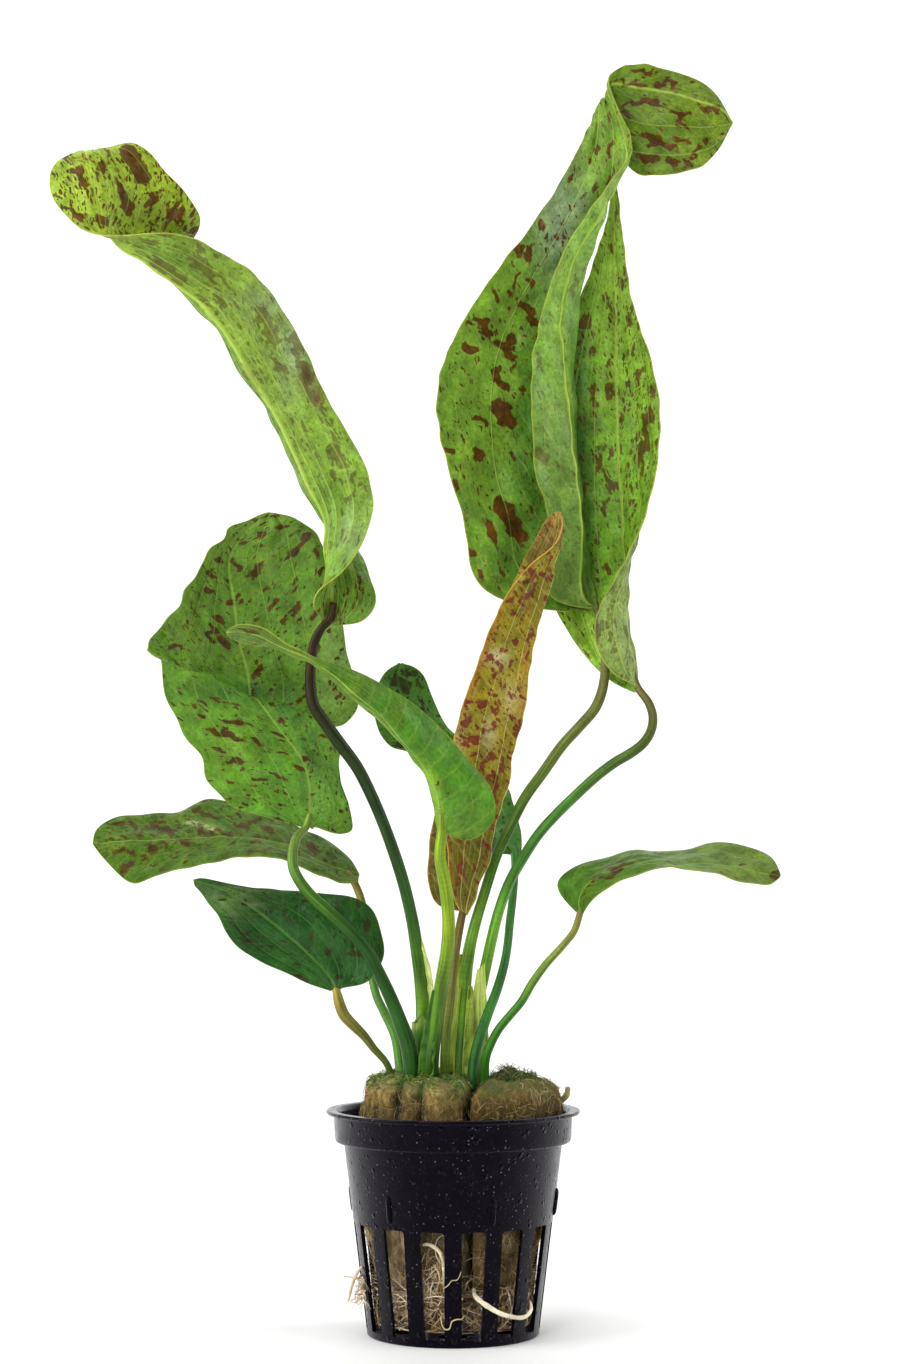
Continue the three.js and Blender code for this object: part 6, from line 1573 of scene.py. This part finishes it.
for name, seed in (("wool_left", 11), ("wool_right", 12)):
    block, points, normal = wool_part(name, seed)
    x, y, height = points[..., 0], points[..., 1], points[..., 2]
    clump = ripple(x, y, 5, seed + 6) + 0.7 * ripple(x, y, 2, seed + 7)
    side_zone = (height > 44) & (height < 53.5) | (height > 9) & (height < 27)
    hair_zone = (height > 47) & (normal[..., 2] < 0.97)
    if name == "wool_left":
        strands = [(2500, side_zone, FIBRE_LOOK), (220, hair_zone, HAIR_LOOK),
                   (2500, (height > 54.4) & (clump > -0.5), MOSS_LOOK),
                   (500, (height > 53.2) & (height < 54.6) & (clump > 0.2), MOSS_LOOK)]
    else:
        strands = [(2500, side_zone, FIBRE_LOOK), (450, hair_zone, HAIR_LOOK),
                   (600, (height > 54.4) & (clump > 0.2) & (y > -8), MOSS_LOOK),
                   (1500, (height > 54.3) & (y > -9) & (x > 5) & (x < 18) & (clump > -0.3),
                    DARK_MOSS_LOOK)]
    parts = [block] + [fibres(points, normal, count, zone, style, seed + number)
                       for number, (count, zone, style) in enumerate(strands)]
    make_piece(name + "_felted", parts, [WOOL, THREAD, MOSS], [name])

# Fine roots: ranges of length and radius in mm, how much each step turns (wander) and is
# pulled down (fall), and the height at which caged ones turn back.
TANGLE = dict(
    length=(12, 32), wander=0.34, fall=0.02, ceiling=11.0, caged=True, radius=(0.12, 0.32), sides=6,
    shades="#c9b592 #b89a6c #a98a5c #8a6c44 #d9c8a4 #6f5030 #5c4026 #9c7c50",
)
HAIRS = dict(
    TANGLE, length=(7, 22), ceiling=24.0, radius=(0.05, 0.11), sides=3, fall=0.05,
    shades="#d9cbae #b0946a #efe8d8 #8f7048 #c4ab80 #6b4d2e",
)
BRUSH = dict(
    HAIRS, length=(7, 20), radius=(0.05, 0.15), sides=4, fall=0.16, wander=0.45,
    shades="#c4a270 #dcc8a0 #94703f #ece0c6 #6f4f2c #b08a58",
)
down = np.array([0, 0, -1.0])
spots, out = scattered(190, (0, 6, 3), (360, 16.5, 10.8), 31)
spread = np.random.default_rng(32).normal(0, 0.9, (190, 3))
tangle = wandering_roots(spots, out + 0.8 * down + spread, 18, 33, TANGLE)
spots, out = scattered(480, (0, 11, 2.4), (360, 18, 13), 34)
spread = np.random.default_rng(35).normal(0, 1.2, (480, 3))
hairs = wandering_roots(spots, out + spread, 14, 36, HAIRS)
spots, out = scattered(130, (-27, 16.5, 8), (-4, 18.5, 20), 37)
brush = wandering_roots(spots, 0.2 * out + down, 14, 38, BRUSH)
spots, out = scattered(60, (20, 16.5, 8), (75, 17.5, 13), 39)
right_brush = wandering_roots(spots, 0.3 * out + down, 14, 40, BRUSH)
make_piece("root_mat_tangle", [tangle, hairs, brush, right_brush], [ROOT], ["root_mat"])

FAN = dict(
    BRUSH, caged=False, length=(2, 5.5), radius=(0.06, 0.26), sides=5, fall=0.14, wander=0.3,
    shades="#e9dcc6 #d9c3a0 #f5eee0 #bfa27c #cdb394",
)
ROOTS = {
    "root_curved_front": ("root_pale", "#e0d2ac", [
        [-7, 19.2, -18, 0.6], [-6, 19.4, -18.5, 0.8], [-4.6, 18.9, -18.8, 0.85], [-3.2, 17.6, -18.8, 0.85],
        [-2.5, 15.4, -18.7, 0.8], [-2.3, 12.8, -18.3, 0.8], [-2.4, 10.2, -17.8, 0.7],
    ]),
    "root_outside_front": ("root_pale", "#eadfc2", [
        [4.2, 9.6, -16.4, 0.9], [4.5, 8.1, -18.8, 0.9], [6, 6.7, -20.2, 1], [7.9, 5.4, -19.4, 1.1],
        [9.9, 4.3, -18.2, 1], [12.2, 3.6, -16.8, 1], [14.4, 3.3, -15.2, 0.9], [15.9, 3.8, -13.9, 0.8],
        [16.8, 5.2, -12.9, 0.7], [16.6, 7, -12.7, 0.4],
    ]),
    "root_outside_left": ("root_brown", "#dcc7a4", [
        [-20.2, 14.6, -6.4, 0.6], [-21.4, 13, -5.8, 0.7], [-22.4, 10.6, -5, 0.7], [-23, 8.2, -4.8, 0.6],
        [-23.4, 6.6, -4.6, 0.4],
    ]),
    "root_top_right": ("root_pale", "#a39a5c", [
        [22.6, 50.9, 4.2, 1.2], [23.6, 51.1, 4, 1.4], [24.6, 52.2, 3.8, 1.4], [24.9, 54, 3.8, 1.1],
    ]),
}
THREAD_ROOTS = [
    [[-2.6, 9.6, -20.4, 0.18], [-1.4, 10.4, -20.6, 0.2], [-0.6, 11.4, -20.6, 0.2], [0.6, 11.6, -20.7, 0.2],
     [1.5, 13.4, -20.6, 0.16]],
    [[-3, 3.4, -19.2, 0.2], [-2.7, 1.6, -19.5, 0.28], [-2, 0.7, -19.6, 0.28], [-1.1, 0.9, -19.6, 0.28],
     [-0.6, 2.4, -19.8, 0.26], [0.4, 2.9, -19.8, 0.26], [1.6, 3, -19.8, 0.26], [2.2, 3.8, -19.6, 0.2]],
]
for number, (name, (slot, shade, marks)) in enumerate(ROOTS.items()):
    parts = [root_part(marks, shade, 60 + number)]
    if name == "root_outside_left":
        spots, out = scattered(60, (-79, 19.2, 8), (-70, 20.2, 13.5), 41)
        parts.append(wandering_roots(spots, out + 0.5 * down, 12, 42, FAN))
    if name == "root_outside_front":
        parts += [root_part(thin, "#cdb98e", 70 + turn) for turn, thin in enumerate(THREAD_ROOTS)]
    make_piece(name + "_grown", parts, [ROOT], [name])

# Pot

pot = make_piece("net_pot_moulded", [pot_part(), pot_ribs()], [PLASTIC], ["net_pot"])
angles = (np.arange(POT.holes) * 2 * math.pi / POT.holes)[:, None]
bore = packed(0, -POT.hole_circle, np.linspace(-3, 4.5, 4))[None]
cutter_part = tubes(turned(bore, angles), np.full((POT.holes, 4), POT.hole_radius), 28)
cutter_mesh = bpy.data.meshes.new("floor_bores")
cutter_mesh.from_pydata((cutter_part["points"] * MM).tolist(), [],
                        [row for rows in cutter_part["faces"] for row in rows.tolist()])
cutter = in_scene("floor_bores", cutter_mesh)
cut = pot.modifiers.new("floor_holes", "BOOLEAN")
cut.object = cutter
cut.operation = "DIFFERENCE"
cut.solver = "EXACT"
bpy.context.view_layer.update()
pierced = bpy.data.meshes.new_from_object(pot.evaluated_get(bpy.context.evaluated_depsgraph_get()))
pot.modifiers.clear()
pot.data = pierced
bpy.data.objects.remove(cutter)
pierced.polygons.foreach_set("use_smooth", np.ones(len(pierced.polygons), bool))
soften = pot.modifiers.new("moulded_edges", "BEVEL")
soften.width = 0.00014
soften.segments = 2
soften.limit_method = "ANGLE"
soften.angle_limit = math.radians(50)
soften.harden_normals = True

# Floor, light and camera


def stage_sheet():
    """Floor that curves up into a backdrop: a profile of depth and height, level, then a
    quarter circle, then upright, carried straight across."""
    arc = np.linspace(0, math.pi / 2, 24)
    depth = np.concatenate([[-1.6], 0.7 + 0.6 * np.sin(arc), [1.3]])
    height = np.concatenate([[0.0], 0.6 - 0.6 * np.cos(arc), [2.6]])
    across = np.linspace(-2.4, 2.4, 3)
    grid = packed(across, depth[:, None], height[:, None])
    index = np.arange(grid.shape[0] * 3).reshape(-1, 3)
    mesh = bpy.data.meshes.new("studio_sheet")
    mesh.from_pydata(grid.reshape(-1, 3).tolist(), [], grid_faces(index).tolist())
    mesh.polygons.foreach_set("use_smooth", np.ones(len(mesh.polygons), bool))
    return mesh


paper, add = new_material("white_studio_paper")
close_material(add, base_color=tone("#f4f4f3"), roughness=0.9, specular_ior_level=0.1)
sheet = in_scene("studio_sheet", stage_sheet())
sheet.data.materials.append(paper)


def soft_light(name, place, aim, width, height, power):
    """Rectangular soft light at a place, turned to its aim."""
    light = bpy.data.lights.new(name, "AREA")
    light.shape = "RECTANGLE"
    light.size = width
    light.size_y = height
    light.energy = power
    lamp = in_scene(name, light)
    lamp.location = place
    lamp.rotation_euler = (Vector(aim) - Vector(place)).to_track_quat("-Z", "Y").to_euler()


soft_light("soft_left", (-1.0, -0.3, 0.45), (0, 0, 0.12), 0.8, 1.0, 9.0)
soft_light("soft_right", (1.05, -0.1, 0.4), (0, 0, 0.12), 0.7, 1.0, 7.0)
soft_light("soft_above", (-0.3, -0.5, 1.2), (0, 0, 0.13), 0.7, 0.7, 5.0)
soft_light("soft_front", (-0.5, -1.3, 0.6), (0, 0, 0.15), 0.5, 0.5, 6.0)
soft_light("soft_backdrop", (0, 0.4, 1.7), (0, 1.3, 0.6), 2.0, 0.5, 22.0)

world = bpy.data.worlds.new("studio")
world.use_nodes = True
backdrop = world.node_tree.nodes["Background"].inputs
backdrop["Color"].default_value = (1, 1, 1, 1)
backdrop["Strength"].default_value = 0.2
bpy.context.scene.world = world
bpy.context.scene.view_settings.view_transform = "Standard"

lens = bpy.data.cameras.new("photo_camera")
lens.sensor_width = 36
lens.lens = 36 * SHEET_DISTANCE / FRAME_HEIGHT
lens.clip_start = 0.01
camera = in_scene("photo_camera", lens)
camera.location = EYE * MM
camera.rotation_euler = (math.pi / 2 + SIGHT_RISE, 0, 0)
bpy.context.scene.camera = camera
